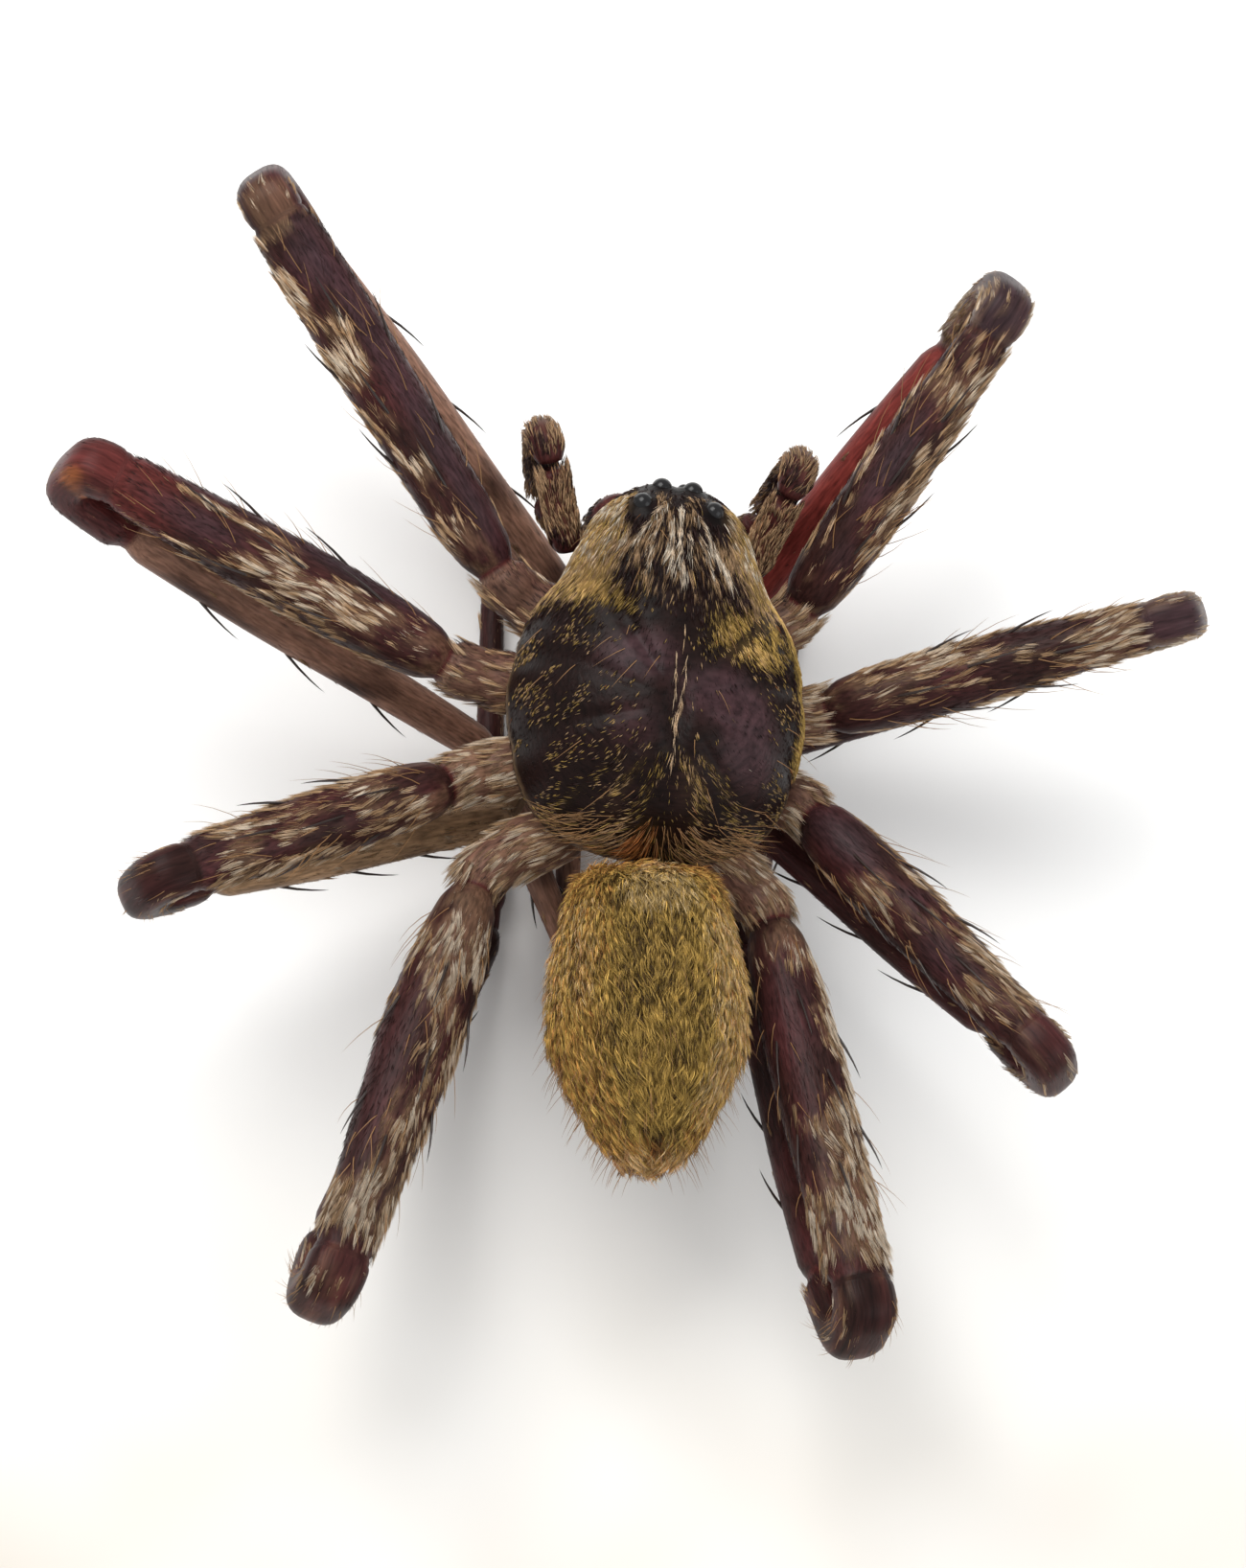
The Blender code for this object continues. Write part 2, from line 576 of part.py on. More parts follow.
def make_leg(name, leg, collection):
    start = Vector(leg["start"])
    way = heading(leg["turn"], leg["rise"])
    femur_end = start + way * leg["femur"]
    shank_end = Vector(leg["shank_end"])
    knee = femur_end + way * GAP
    swing = Matrix.Rotation(math.radians(leg["twist"]), 3, way)
    bend = Bend(knee, way, knee + swing @ (shank_end - knee), KNEE_BEND)

    hip = on_body(*leg["hip"], HIP_DEPTH)
    hip_end = start - way * GAP
    rings = curved_rings(hip, hip_end - way * HIP_BEND, hip_end, bend.side, COXA, COXA_SIDES)
    add_object(name + "_coxa", loft_mesh(name + "_coxa", rings), "under", collection)

    table = femur_table(leg)
    rings = straight_rings(start, femur_end, bend.side, table, 1.0, FEMUR_SIDES)
    femur = add_object(name + "_femur", loft_mesh(name + "_femur", rings), "cuticle", collection, 0.45)
    fuse(femur, spines_on(start, femur_end, bend.inward * -1.0, table, FEMUR_SPINES))

    patella_length = bend.arc_length() + PATELLA_TAIL
    rings = []
    for part, half_width, half_height in PATELLA:
        centre, going = bend.at(part * patella_length)
        reach = bend.boxy_reach(part * patella_length, half_height)
        outer = going.cross(bend.side)
        rings.append(knee_ring(centre, bend.side, outer, half_width * leg["knee"], half_height, reach))
    add_object(name + "_patella", loft_mesh(name + "_patella", rings), "cuticle", collection, 0.4)

    tibia_start = bend.at(patella_length + SHIN_GAP)[0]
    rings = straight_rings(tibia_start, shank_end, bend.side, TIBIA, 1.0, TIBIA_SIDES)
    tibia = add_object(name + "_tibia", loft_mesh(name + "_tibia", rings), "cuticle", collection, 0.5)
    inner = bend.side.cross(shank_end - tibia_start)
    fuse(tibia, spines_on(tibia_start, shank_end, inner, TIBIA, TIBIA_SPINES))

    make_foot(name, leg, collection)


def make_foot(name, leg, collection):
    """The metatarsus and tarsus, one piece, past the shank's end."""
    shank_end = Vector(leg["shank_end"])
    middle = Vector(leg["metatarsus_end"])
    end = Vector(leg["tarsus_end"])
    start = shank_end + (middle - shank_end).normalized() * ANKLE_GAP
    up = Vector((0.0, 0.0, 1.0))
    side = (middle - start).cross(up).normalized()
    rings = straight_rings(start, middle, side, METATARSUS, 1.0, FOOT_SIDES)
    side = (end - middle).cross(up).normalized()
    rings += straight_rings(middle, end, side, TARSUS, 1.0, FOOT_SIDES)
    foot = add_object(name + "_foot", loft_mesh(name + "_foot", rings), "cuticle", collection, 0.5)
    fuse(foot, spines_on(start, middle, up, METATARSUS, FOOT_SPINES))


def make_palps(collection):
    for name, palp in PALPS.items():
        make_palp(name, palp, collection)


def make_palp(name, palp, collection):
    mirror = -1.0 if name == "L" else 1.0
    start = Vector(palp["start"])
    knee = Vector(palp["knee"])
    tibia_end = Vector(palp["tibia_end"])
    tarsus_end = Vector(palp["tarsus_end"])
    side = (knee - start).cross(Vector((0.0, 0.0, 1.0))).normalized()

    inner_side, inner_ahead, inner_depth = PALP_MAXILLA_ROOT
    inner = on_body(inner_side * mirror, inner_ahead, inner_depth)
    outer = on_body(*palp["root"], PALP_ROOT_DEPTH)
    rings = straight_rings(inner, outer, Vector((0.0, 1.0, 0.0)), PALP_MAXILLA, 1.0, PALP_SIDES)
    add_object("palp_" + name + "_maxilla", loft_mesh("maxilla", rings), "under", collection)

    rings = straight_rings(start, knee, side, PALP_FEMUR, PALP_GIRTH, PALP_SIDES)
    add_object("palp_" + name + "_femur", loft_mesh("palp", rings), "cuticle", collection)

    way = (knee - start).normalized()
    bend = Bend(knee + way * GAP, way, tibia_end, PALP_BEND)
    whole = bend.arc_length() + (tibia_end - bend.at(bend.arc_length())[0]).length
    rings = []
    for part, half_width, half_height in PALP_TIBIA:
        centre, going = bend.at(part * whole)
        rings.append(oval(centre, bend.side, bend.side.cross(going), half_width * PALP_GIRTH,
                          half_height * PALP_GIRTH, PALP_SIDES))
    add_object("palp_" + name + "_tibia", loft_mesh("palp", rings), "cuticle", collection)

    way = (tarsus_end - tibia_end).normalized()
    down = (tibia_end - bend.at(bend.arc_length())[0]).normalized()
    tarsus_start = tibia_end + down * PALP_TARSUS_STEP[0] + way * (GAP + PALP_TARSUS_STEP[1])
    rings = straight_rings(tarsus_start, tarsus_end, side, PALP_TARSUS, PALP_GIRTH, PALP_SIDES)
    add_object("palp_" + name + "_tarsus", loft_mesh("palp", rings), "cuticle", collection)


def make_jaws(collection):
    """The two chelicerae under the head, with a fang folded in below each."""
    side = BODY.to_3x3() @ Vector((1.0, 0.0, 0.0))
    for name, mirror in (("L", -1.0), ("R", 1.0)):
        top = on_body(CHELICERA_SIDE * mirror, *CHELICERA_TOP)
        end = on_body(CHELICERA_SIDE * mirror, *CHELICERA_END)
        rings = straight_rings(top, end, side, CHELICERA, 1.0, CHELICERA_SIDES, bow=CHELICERA_BOW)
        add_object("chelicera_" + name, loft_mesh("chelicera", rings), "cuticle", collection, 0.35)
        mesh = loft_mesh("fang", fang_rings(mirror))
        add_object("fang_" + name, mesh, "fang", collection, 0.2)


def fang_rings(mirror):
    """Rings along one fang, from its root to its tip near the middle."""
    up = Vector((0.0, 0.0, 1.0))
    rings = []
    for i in range(FANG_STEPS):
        part = i / (FANG_STEPS - 1)
        swing = math.radians(FANG_TURN[0] + FANG_TURN[1] * part)
        inward = CHELICERA_SIDE - FANG_LENGTH * FANG_INWARD * part
        ahead = CHELICERA_END[0] - FANG_REACH[0] - FANG_REACH[1] * part
        drop = CHELICERA_END[1] - GAP - FANG_DROP[0] - FANG_DROP[1] * math.sin(math.pi * part)
        centre = on_body(inward * mirror, ahead, drop)
        going = BODY.to_3x3() @ Vector((-mirror * math.sin(swing), -math.cos(swing) * FANG_SWEEP, 0.0))
        girth = FANG_GIRTH * (1.0 - FANG_TAPER * part)
        rings.append(oval(centre, going.cross(up).normalized(), up, girth, girth, FANG_SIDES))
    return rings


def build():
    clear_scene()
    collection = bpy.data.collections.new(COLLECTION)
    bpy.context.scene.collection.children.link(collection)
    make_carapace(collection)
    make_sternum(collection)
    make_pedicel(collection)
    make_abdomen(collection)
    make_spinnerets(collection)
    make_jaws(collection)
    make_palps(collection)
    make_legs(collection)


build()
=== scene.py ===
"""A ctenus wandering spider, dressed: skin, coat, eyes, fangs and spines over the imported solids."""
import collections
import functools
import math

import bpy
import numpy as np
from mathutils import Matrix, Vector, noise


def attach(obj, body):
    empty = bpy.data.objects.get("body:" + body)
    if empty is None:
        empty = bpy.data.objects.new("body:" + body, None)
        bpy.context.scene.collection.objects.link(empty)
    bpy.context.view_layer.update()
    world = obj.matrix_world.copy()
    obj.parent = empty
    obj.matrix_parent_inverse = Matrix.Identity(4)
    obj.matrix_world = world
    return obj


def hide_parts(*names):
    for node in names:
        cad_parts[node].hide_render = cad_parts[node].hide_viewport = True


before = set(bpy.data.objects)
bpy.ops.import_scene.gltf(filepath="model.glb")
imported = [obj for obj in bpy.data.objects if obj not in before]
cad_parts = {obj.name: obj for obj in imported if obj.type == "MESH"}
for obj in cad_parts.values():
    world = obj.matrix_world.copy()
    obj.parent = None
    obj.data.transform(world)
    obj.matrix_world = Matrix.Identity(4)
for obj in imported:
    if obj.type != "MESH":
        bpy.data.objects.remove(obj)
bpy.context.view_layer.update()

bl_info = {
    "name": "Wandering spider",
    "version": (1, 0, 0),
    "blender": (4, 5, 0),
    "location": "3D View > Sidebar > Spider",
    "description": "Builds the skin, coat, eyes, fangs and spines of a wandering spider",
    "category": "Add Mesh",
}

# Sizes are in millimetres, in the solids' frame before its origin is moved under the outline's middle.
MM = 0.001
GAP = 0.3
SIDE = np.array((1.0, 0.0, 0.0))
AHEAD = np.array((0.0, 1.0, 0.0))
UP = np.array((0.0, 0.0, 1.0))
OUTLINE_MIDDLE = np.array((-1.337, -1.918, 0.0))

# The body's own frame: the height and side of its middle, and its roll in degrees.
BODY_HEIGHT = 10.45
BODY_SIDE = -0.12
BODY_ROLL = 7.0

# Carapace: distance ahead of the middle, half width, height over the rim, squareness.
CARAPACE = (
    (-5.60, 1.55, 0.75, 2.0), (-5.20, 3.10, 1.70, 2.0), (-4.40, 4.30, 3.00, 2.0), (-3.20, 5.00, 4.00, 2.0),
    (-1.80, 5.42, 4.50, 2.0), (0.00, 5.60, 4.68, 2.0), (1.40, 5.45, 4.72, 2.0), (2.60, 5.05, 4.75, 2.1),
    (3.80, 4.45, 4.75, 2.2), (4.90, 3.75, 4.68, 2.4), (5.90, 3.25, 4.45, 2.6), (6.80, 2.85, 4.00, 2.8),
    (7.40, 2.35, 3.40, 2.8), (7.80, 1.80, 2.60, 2.6),
)
# The sum of half width and height by which the coat's places are weighed.
CARAPACE_GIRTH = 10.4
# The pit behind the middle: distance ahead, depth, half length, half breadth.
FOVEA = (-1.5, 0.35, 1.5, 0.45)
# Eyes on each side: distance from the middle, distance ahead, height, radius.
EYES = ((0.34, 7.84, 2.30, 0.26), (1.08, 7.46, 2.55, 0.20), (0.57, 7.46, 3.18, 0.40),
        (1.31, 6.50, 3.90, 0.40))

# How far the head leans to the left for its height, and where ahead the lean starts and is full.
HEAD_LEAN = 0.085
HEAD_LEAN_SPAN = (1.5, 6.0)

# Sternum: distance ahead, half width.
STERNUM = ((-4.0, 0.45), (-3.4, 1.25), (-2.2, 1.75), (-0.4, 2.0), (1.2, 1.9), (2.4, 1.45), (3.2, 0.95),
           (4.0, 0.75), (4.6, 0.45))
STERNUM_TOP = -0.65
STERNUM_BOTTOM = -3.35

# Abdomen: its ends, then part of its length, half width, half height.
ABDOMEN_START = (-0.10, -6.0, 10.2)
ABDOMEN_END = (0.70, -16.8, 9.4)
ABDOMEN = ((0.0, 0.30, 0.30), (0.015, 1.95, 1.60), (0.05, 2.50, 2.30), (0.12, 2.80, 2.75), (0.24, 3.14, 3.08),
           (0.40, 3.46, 3.22), (0.55, 3.50, 3.22), (0.68, 3.05, 2.95), (0.79, 2.42, 2.40), (0.88, 1.85, 1.80),
           (0.955, 1.15, 1.10), (1.0, 0.20, 0.20))
# Spinnerets on each side, from the abdomen's end: side, ahead, up, length, radius.
SPINNERETS = ((0.34, 2.25, -3.60, 0.95, 0.34), (0.40, 1.75, -3.15, 1.05, 0.30))
# The knob that they stand on: ahead, up, radius.
SPINNERET_ROOT = (2.15, -3.20, 0.70)
# The sine of the angle between the abdomen's upper coats and the lower one.
ABDOMEN_EDGE = -0.05

# Legs: the knee's share of breadth and the femur's two, the hip in the body's frame, the femur's start,
# turn from straight ahead, rise and length, the knee's twist, and the ends of the segments after it.
LEGS = {
    "L1": {"knee": 1.18, "stout": (1.0, 1.24), "hip": (-2.45, 3.45), "start": (-6.3, 5.5, 9.7),
           "turn": -38.5, "rise": 16.5, "femur": 14.6, "twist": 5.0,
           "shank_end": (-2.85, 7.6, 0.72), "metatarsus_end": (-2.2, -5.0, 0.46),
           "tarsus_end": (-2.0, -9.6, 0.36)},
    "L2": {"knee": 1.18, "stout": (1.10, 1.20), "hip": (-3.55, 1.15), "start": (-8.0, 1.7, 9.6),
           "turn": -69.6, "rise": 16.0, "femur": 13.25, "twist": 12.0,
           "shank_end": (-5.75, 0.75, 2.6), "metatarsus_end": (-1.3, -8.8, 2.6),
           "tarsus_end": (-1.0, -12.9, 2.5)},
    "L3": {"knee": 1.06, "stout": (1.0, 1.06), "hip": (-3.55, -1.60), "start": (-7.6, -3.1, 9.4),
           "turn": -119.0, "rise": 18.0, "femur": 10.3, "twist": -19.0,
           "shank_end": (-5.0, -2.6, 4.9), "metatarsus_end": (-1.9, 6.6, 3.5),
           "tarsus_end": (-1.6, 10.1, 2.6)},
    "L4": {"knee": 1.22, "stout": (1.20, 1.14), "hip": (-2.30, -4.15), "start": (-6.2, -7.05, 9.3),
           "turn": -165.2, "rise": 5.5, "femur": 14.2, "twist": -17.0,
           "shank_end": (-5.2, -5.9, 0.72), "metatarsus_end": (-5.9, 7.4, 0.46),
           "tarsus_end": (-6.0, 11.0, 0.36)},
    "R1": {"knee": 1.08, "stout": (1.0, 1.0), "hip": (2.30, 3.45), "start": (5.4, 5.6, 8.3),
           "turn": 32.3, "rise": 27.0, "femur": 11.95, "twist": -4.0,
           "shank_end": (2.1, 5.6, 0.72), "metatarsus_end": (2.2, -6.6, 0.46),
           "tarsus_end": (2.1, -11.0, 0.36)},
    "R2": {"knee": 1.02, "stout": (1.0, 1.0), "hip": (3.35, 1.15), "start": (6.6, 1.5, 8.2),
           "turn": 75.5, "rise": 20.0, "femur": 11.9, "twist": 7.0,
           "shank_end": (3.3, 1.4, 2.10), "metatarsus_end": (1.7, -9.6, 2.65),
           "tarsus_end": (1.5, -13.6, 2.4)},
    "R3": {"knee": 1.06, "stout": (1.0, 1.04), "hip": (3.35, -1.60), "start": (6.2, -2.8, 8.2),
           "turn": 136.6, "rise": 12.5, "femur": 11.2, "twist": 16.0,
           "shank_end": (3.75, -1.05, 4.05), "metatarsus_end": (0.3, 7.6, 3.98),
           "tarsus_end": (0.4, 10.9, 2.4)},
    "R4": {"knee": 1.22, "stout": (1.08, 1.22), "hip": (2.10, -4.15), "start": (4.8, -7.1, 8.2),
           "turn": 165.4, "rise": 10.5, "femur": 13.9, "twist": -13.0,
           "shank_end": (4.5, -5.85, 0.72), "metatarsus_end": (5.7, 7.3, 0.46),
           "tarsus_end": (5.8, 10.9, 0.36)},
}
# Hip: height in the body's frame, and how far before the femur it bends.
HIP_DEPTH = -2.05
HIP_BEND = 1.3
# Knee: radius of the turn, squareness along and across it, length after it, gap at the shin.
KNEE_BEND = 1.10
KNEE_SQUARE = 3.2
PATELLA_SQUARE = 2.8
PATELLA_TAIL = 1.7
SHIN_GAP = 0.45
# Ankle: its gap, and how far the foot's skin reaches back into the shank.
ANKLE_GAP = 0.92
ANKLE_NECK = 0.75

# Leg segments: part of the length, half width, half height.
COXA = ((0.0, 0.95, 0.95), (0.08, 1.15, 1.15), (0.45, 1.28, 1.26), (0.66, 1.10, 1.10), (0.74, 1.18, 1.20),
        (0.92, 1.15, 1.18), (1.0, 0.90, 0.95))
FEMUR = ((0.0, 0.92, 0.95), (0.04, 1.16, 1.20), (0.16, 1.32, 1.42), (0.38, 1.36, 1.45), (0.62, 1.26, 1.30),
         (0.84, 1.12, 1.12), (0.985, 1.05, 1.02), (1.0, 0.96, 0.94))
# The parts of the femur where its two shares of breadth hold.
STOUT_SPAN = (0.38, 0.84)
PATELLA = ((0.0, 0.94, 0.90), (0.03, 1.00, 0.93), (0.10, 1.01, 0.92), (0.165, 1.00, 0.90), (0.23, 1.00, 0.90),
           (0.33, 0.99, 0.90), (0.43, 0.99, 0.90), (0.49, 0.99, 0.91), (0.56, 1.00, 0.93), (0.66, 1.00, 0.95),
           (0.93, 0.97, 0.94), (1.0, 0.84, 0.82))
TIBIA = ((0.0, 0.86, 0.84), (0.04, 1.06, 1.04), (0.30, 1.10, 1.08), (0.65, 0.96, 0.95), (0.96, 0.82, 0.82),
         (1.0, 0.62, 0.62))
METATARSUS = ((0.0, 0.58, 0.58), (0.04, 0.76, 0.76), (0.30, 0.70, 0.70), (0.70, 0.58, 0.58),
              (1.0, 0.52, 0.54))
TARSUS = ((0.0, 0.50, 0.52), (0.20, 0.52, 0.54), (0.75, 0.46, 0.48), (0.94, 0.36, 0.38), (1.0, 0.20, 0.20))

# Spines: part of the segment, angle from its outer side in degrees, length.
FEMUR_SPINES = ((0.24, 8.0, 2.1), (0.47, -10.0, 2.3), (0.72, 6.0, 2.0), (0.36, 62.0, 2.0), (0.62, 66.0, 1.9),
                (0.34, -64.0, 2.0), (0.60, -66.0, 1.9))
TIBIA_SPINES = ((0.22, 112.0, 2.0), (0.22, -112.0, 2.0), (0.46, 118.0, 2.1), (0.46, -118.0, 2.1),
                (0.70, 118.0, 1.9), (0.70, -118.0, 1.9))
FOOT_SPINES = ((0.18, 92.0, 1.5), (0.18, -92.0, 1.5), (0.52, 92.0, 1.4), (0.52, -92.0, 1.4))
# Their lean off the segment in degrees, bow for their length, and depth of root.
SPINE_LEAN = 19.0
SPINE_BOW = 0.11
SPINE_ROOTED = 0.12

# Palps: root in the body's frame, and the ends of the segments.
PALPS = {
    "L": {"root": (-2.75, 6.05), "start": (-3.55, 6.5, 9.25), "knee": (-4.45, 8.95, 11.0),
          "tibia_end": (-4.6, 9.8, 6.9), "tarsus_end": (-3.6, 9.2, 4.4)},
    "R": {"root": (2.75, 6.05), "start": (3.25, 6.5, 8.5), "knee": (4.25, 8.6, 10.7),
          "tibia_end": (3.9, 9.7, 6.9), "tarsus_end": (2.9, 9.1, 4.5)},
}
PALP_GIRTH = 0.72
PALP_KNEE_BEND = PALP_GIRTH + 0.15

# Chelicerae: part of the length, half width, half height, then side, and ahead and up of each end.
CHELICERA = ((0.0, 1.05, 0.95), (0.08, 1.22, 1.10), (0.35, 1.28, 1.22), (0.65, 1.10, 1.05),
             (0.92, 0.85, 0.82), (1.0, 0.62, 0.60))
CHELICERA_SIDE = 1.45
CHELICERA_TOP = (7.72, -0.62)
CHELICERA_END = (7.80, -4.55)
FANG_LENGTH = 1.9
FANG_RADIUS = 0.31
PEDICEL_GIRTH = 0.55
PEDICEL_START = (0.0, -4.55, -1.84)
PEDICEL_END = (-0.05, 0.48, -1.15)


def unit(vectors):
    """Vectors of length one."""
    lengths = np.linalg.norm(vectors, axis=-1, keepdims=True)
    return vectors / np.maximum(lengths, 1e-9)


def flattened(ways, normals):
    """Directions laid flat on the surface that the normals belong to."""
    return unit(ways - normals * np.sum(ways * normals, axis=-1, keepdims=True))


def body_rotation():
    roll = math.radians(BODY_ROLL)
    cos = math.cos(roll)
    sin = math.sin(roll)
    return np.array(((cos, 0.0, sin), (0.0, 1.0, 0.0), (-sin, 0.0, cos)))


BODY_TURN = body_rotation()
BODY_PLACE = np.array((BODY_SIDE, 0.0, BODY_HEIGHT))


def on_body(side, ahead, up):
    """Points of the body's own frame, in the model's frame."""
    local = np.stack(np.broadcast_arrays(side, ahead, up), axis=-1).astype(float)
    return local @ BODY_TURN.T + BODY_PLACE


def lean_head(local):
    """Shift the top of the head sideways from its base, in the body's own frame."""
    share = np.clip((local[..., 1] - HEAD_LEAN_SPAN[0]) / (HEAD_LEAN_SPAN[1] - HEAD_LEAN_SPAN[0]), 0.0, 1.0)
    leaned = np.array(local, float)
    leaned[..., 0] -= HEAD_LEAN * leaned[..., 2] * share * share * (3.0 - 2.0 * share)
    return leaned


def heading(turn, rise):
    """A direction from its turn from straight ahead and its rise, in degrees."""
    turn = math.radians(turn)
    rise = math.radians(rise)
    return np.array((math.sin(turn) * math.cos(rise), math.cos(turn) * math.cos(rise), math.sin(rise)))


def turn_about(axis, angle, vector):
    """A vector turned round an axis, in degrees."""
    return np.array(Matrix.Rotation(math.radians(angle), 3, Vector(axis)) @ Vector(vector))


def read_table(table, parts):
    """A table's columns at many parts, along smooth curves that never overshoot its rows."""
    rows = np.array(table, float)
    x = rows[:, 0]
    y = rows[:, 1:]
    steps = np.diff(x)
    slopes = np.diff(y, axis=0) / steps[:, None]
    both = slopes[:-1] * slopes[1:]
    middle = np.where(both > 0.0, 2.0 * both / np.where(both > 0.0, slopes[:-1] + slopes[1:], 1.0), 0.0)
    tangents = np.vstack((slopes[:1], middle, slopes[-1:]))
    parts = np.clip(np.asarray(parts, float), x[0], x[-1])
    index = np.clip(np.searchsorted(x, parts, side="right") - 1, 0, len(x) - 2)
    step = steps[index][..., None]
    t = (parts - x[index])[..., None] / step
    return (y[index] * (1 + 2 * t) * (1 - t) ** 2 + tangents[index] * step * t * (1 - t) ** 2
            + y[index + 1] * t * t * (3 - 2 * t) + tangents[index + 1] * step * t * t * (t - 1))


def patches(points, scale, seed):
    """Soft noise from -1 to 1 at many points."""
    shift = Vector((seed * 7.31, seed * 3.17, seed * 5.77))
    return np.array([noise.noise(Vector(point) / scale + shift) for point in points])


class Bend:
    """The turn at a knee: an arc that leaves a femur in line and runs on, straight, to a far point."""

    def __init__(self, start, way, target, radius):
        self.start = start
        self.way = way
        self.radius = radius
        self.side = unit(np.cross(way, target - start))
        self.inward = unit(np.cross(self.side, way))
        reach = target - (start + self.inward * radius)
        facing = math.atan2(reach @ way, -(reach @ self.inward)) % (2.0 * math.pi)
        self.angle = facing - math.acos(radius / np.linalg.norm(reach))

    def at(self, lengths):
        """Points and directions at lengths along the arc and the line after it."""
        lengths = np.asarray(lengths, float)[..., None]
        turned = np.minimum(lengths / self.radius, self.angle)
        out = self.way * np.sin(turned) + self.inward * (1.0 - np.cos(turned))
        going = self.way * np.cos(turned) + self.inward * np.sin(turned)
        return self.start + out * self.radius + going * (lengths - turned * self.radius), going

    def arc_length(self):
        return self.angle * self.radius

    def boxy_reach(self, lengths, half_heights):
        """How far the outside lies from the path, where the turn's outside is a rounded box."""
        around = math.pi * np.minimum(lengths / self.arc_length(), 1.0)
        sides = np.abs(np.cos(around)) ** KNEE_SQUARE + np.abs(np.sin(around)) ** KNEE_SQUARE
        return (self.radius + half_heights) / sides ** (1.0 / KNEE_SQUARE) - self.radius


class Tube:
    """A limb's surface: a centre line with half sizes, read at any part of its length and any angle.

    Angle 90 degrees is the limb's outer side, the one it shows when it is stretched."""

    square = 2.0
    bend = None
    breadth = 1.0

    def __init__(self, centres, side, outer, table, shrink, girth=1.0):
        self.centres = centres
        steps = np.linalg.norm(np.diff(centres, axis=0), axis=1)
        run = np.concatenate(((0.0,), np.cumsum(steps)))
        self.length = run[-1]
        self.parts = run / run[-1]
        self.along = unit(np.gradient(centres, self.parts, axis=0))
        outer = np.broadcast_to(outer, centres.shape)
        side = np.broadcast_to(side, centres.shape)
        self.side = flattened(side, self.along)
        up = np.cross(self.side, self.along)
        flip = np.sign(np.sum(up * outer, axis=1, keepdims=True))
        self.up = up * np.where(flip == 0.0, 1.0, flip)
        self.table = table
        self.shrink = shrink
        self.girth = girth

    def read(self, values, part):
        return np.stack([np.interp(part, self.parts, values[:, k]) for k in range(3)], axis=-1)

    def half_sizes(self, part):
        return read_table(self.table, part) * self.girth * np.array((self.breadth, 1.0)) - self.shrink

    def place(self, part, angle):
        """Positions, outward normals and directions along the limb."""
        sizes = self.half_sizes(part)
        half_width = sizes[..., 0:1]
        half_height = sizes[..., 1:2]
        side = unit(self.read(self.side, part))
        up = unit(self.read(self.up, part))
        cos = np.cos(angle)[..., None]
        sin = np.sin(angle)[..., None]
        if self.bend is not None:
            reach = self.bend.boxy_reach(part * self.length, sizes[..., 1] + self.shrink)[..., None]
            half_height = np.where(sin > 0.0, reach - self.shrink, half_height)
        flat = 2.0 - 2.0 / self.square
        normal = unit(side * np.sign(cos) * np.abs(cos) ** flat / half_width
                      + up * np.sign(sin) * np.abs(sin) ** flat / half_height)
        across = np.sign(cos) * np.abs(cos) ** (2.0 / self.square)
        over = np.sign(sin) * np.abs(sin) ** (2.0 / self.square)
        point = self.read(self.centres, part) + side * half_width * across + up * half_height * over
        return point, normal, unit(self.read(self.along, part))


def straight(start, end, count=24, bow=None):
    """Points along a line, bowed out along a vector if one is given."""
    share = np.linspace(0.0, 1.0, count)[:, None]
    points = start + (end - start) * share
    if bow is not None:
        points = points + np.asarray(bow) * np.sin(math.pi * share)
    return points


def curved(start, middle, end):
    """Points along a curve that is drawn toward a middle point."""
    share = np.linspace(0.0, 1.0, 24)[:, None]
    rest = 1.0 - share
    return start * rest * rest + middle * (2.0 * rest * share) + end * share * share


def femur_table(leg):
    """The femur's section, broader at its middle and its end by the leg's own shares."""
    low, high = STOUT_SPAN
    shares = np.interp([row[0] for row in FEMUR], (0.0, low, high), (1.0, *leg["stout"]))
    return [(part, width * share, height) for (part, width, height), share in zip(FEMUR, shares)]


class Limb:
    """The tubes of one leg, in order from the body, with the membranes that join them."""

    def __init__(self, name, depth):
        self.name = name
        leg = LEGS[name]
        start = np.array(leg["start"])
        way = heading(leg["turn"], leg["rise"])
        femur_end = start + way * leg["femur"]
        shank_end = np.array(leg["shank_end"])
        knee = femur_end + way * GAP
        target = knee + turn_about(way, leg["twist"], shank_end - knee)
        bend = Bend(knee, way, target, KNEE_BEND)
        self.bend = bend
        hip = on_body(*leg["hip"], HIP_DEPTH)
        hip_end = start - way * GAP
        outer = -bend.inward
        self.tubes = {}
        path = curved(hip, hip_end - way * HIP_BEND, hip_end)
        self.tubes["coxa"] = Tube(path, bend.side, outer, COXA, depth)
        self.tubes["femur"] = Tube(straight(start, femur_end), bend.side, outer, femur_table(leg), depth)
        length = bend.arc_length() + PATELLA_TAIL
        points, going = bend.at(np.linspace(0.0, length, 60))
        patella = Tube(points, bend.side, np.cross(going, bend.side), PATELLA, depth)
        patella.square = PATELLA_SQUARE
        patella.bend = bend
        patella.breadth = leg["knee"]
        self.tubes["patella"] = patella
        shin = bend.at(length + SHIN_GAP)[0]
        outer = np.cross(shank_end - shin, bend.side)
        self.tubes["tibia"] = Tube(straight(shin, shank_end), bend.side, outer, TIBIA, depth)
        middle = np.array(leg["metatarsus_end"])
        end = np.array(leg["tarsus_end"])
        start = shank_end + unit(middle - shank_end) * ANKLE_GAP
        foot = (("metatarsus", start, middle, METATARSUS), ("tarsus", middle, end, TARSUS))
        for segment, low, high, table in foot:
            self.tubes[segment] = Tube(straight(low, high), np.cross(high - low, UP), UP, table, depth * 0.6)


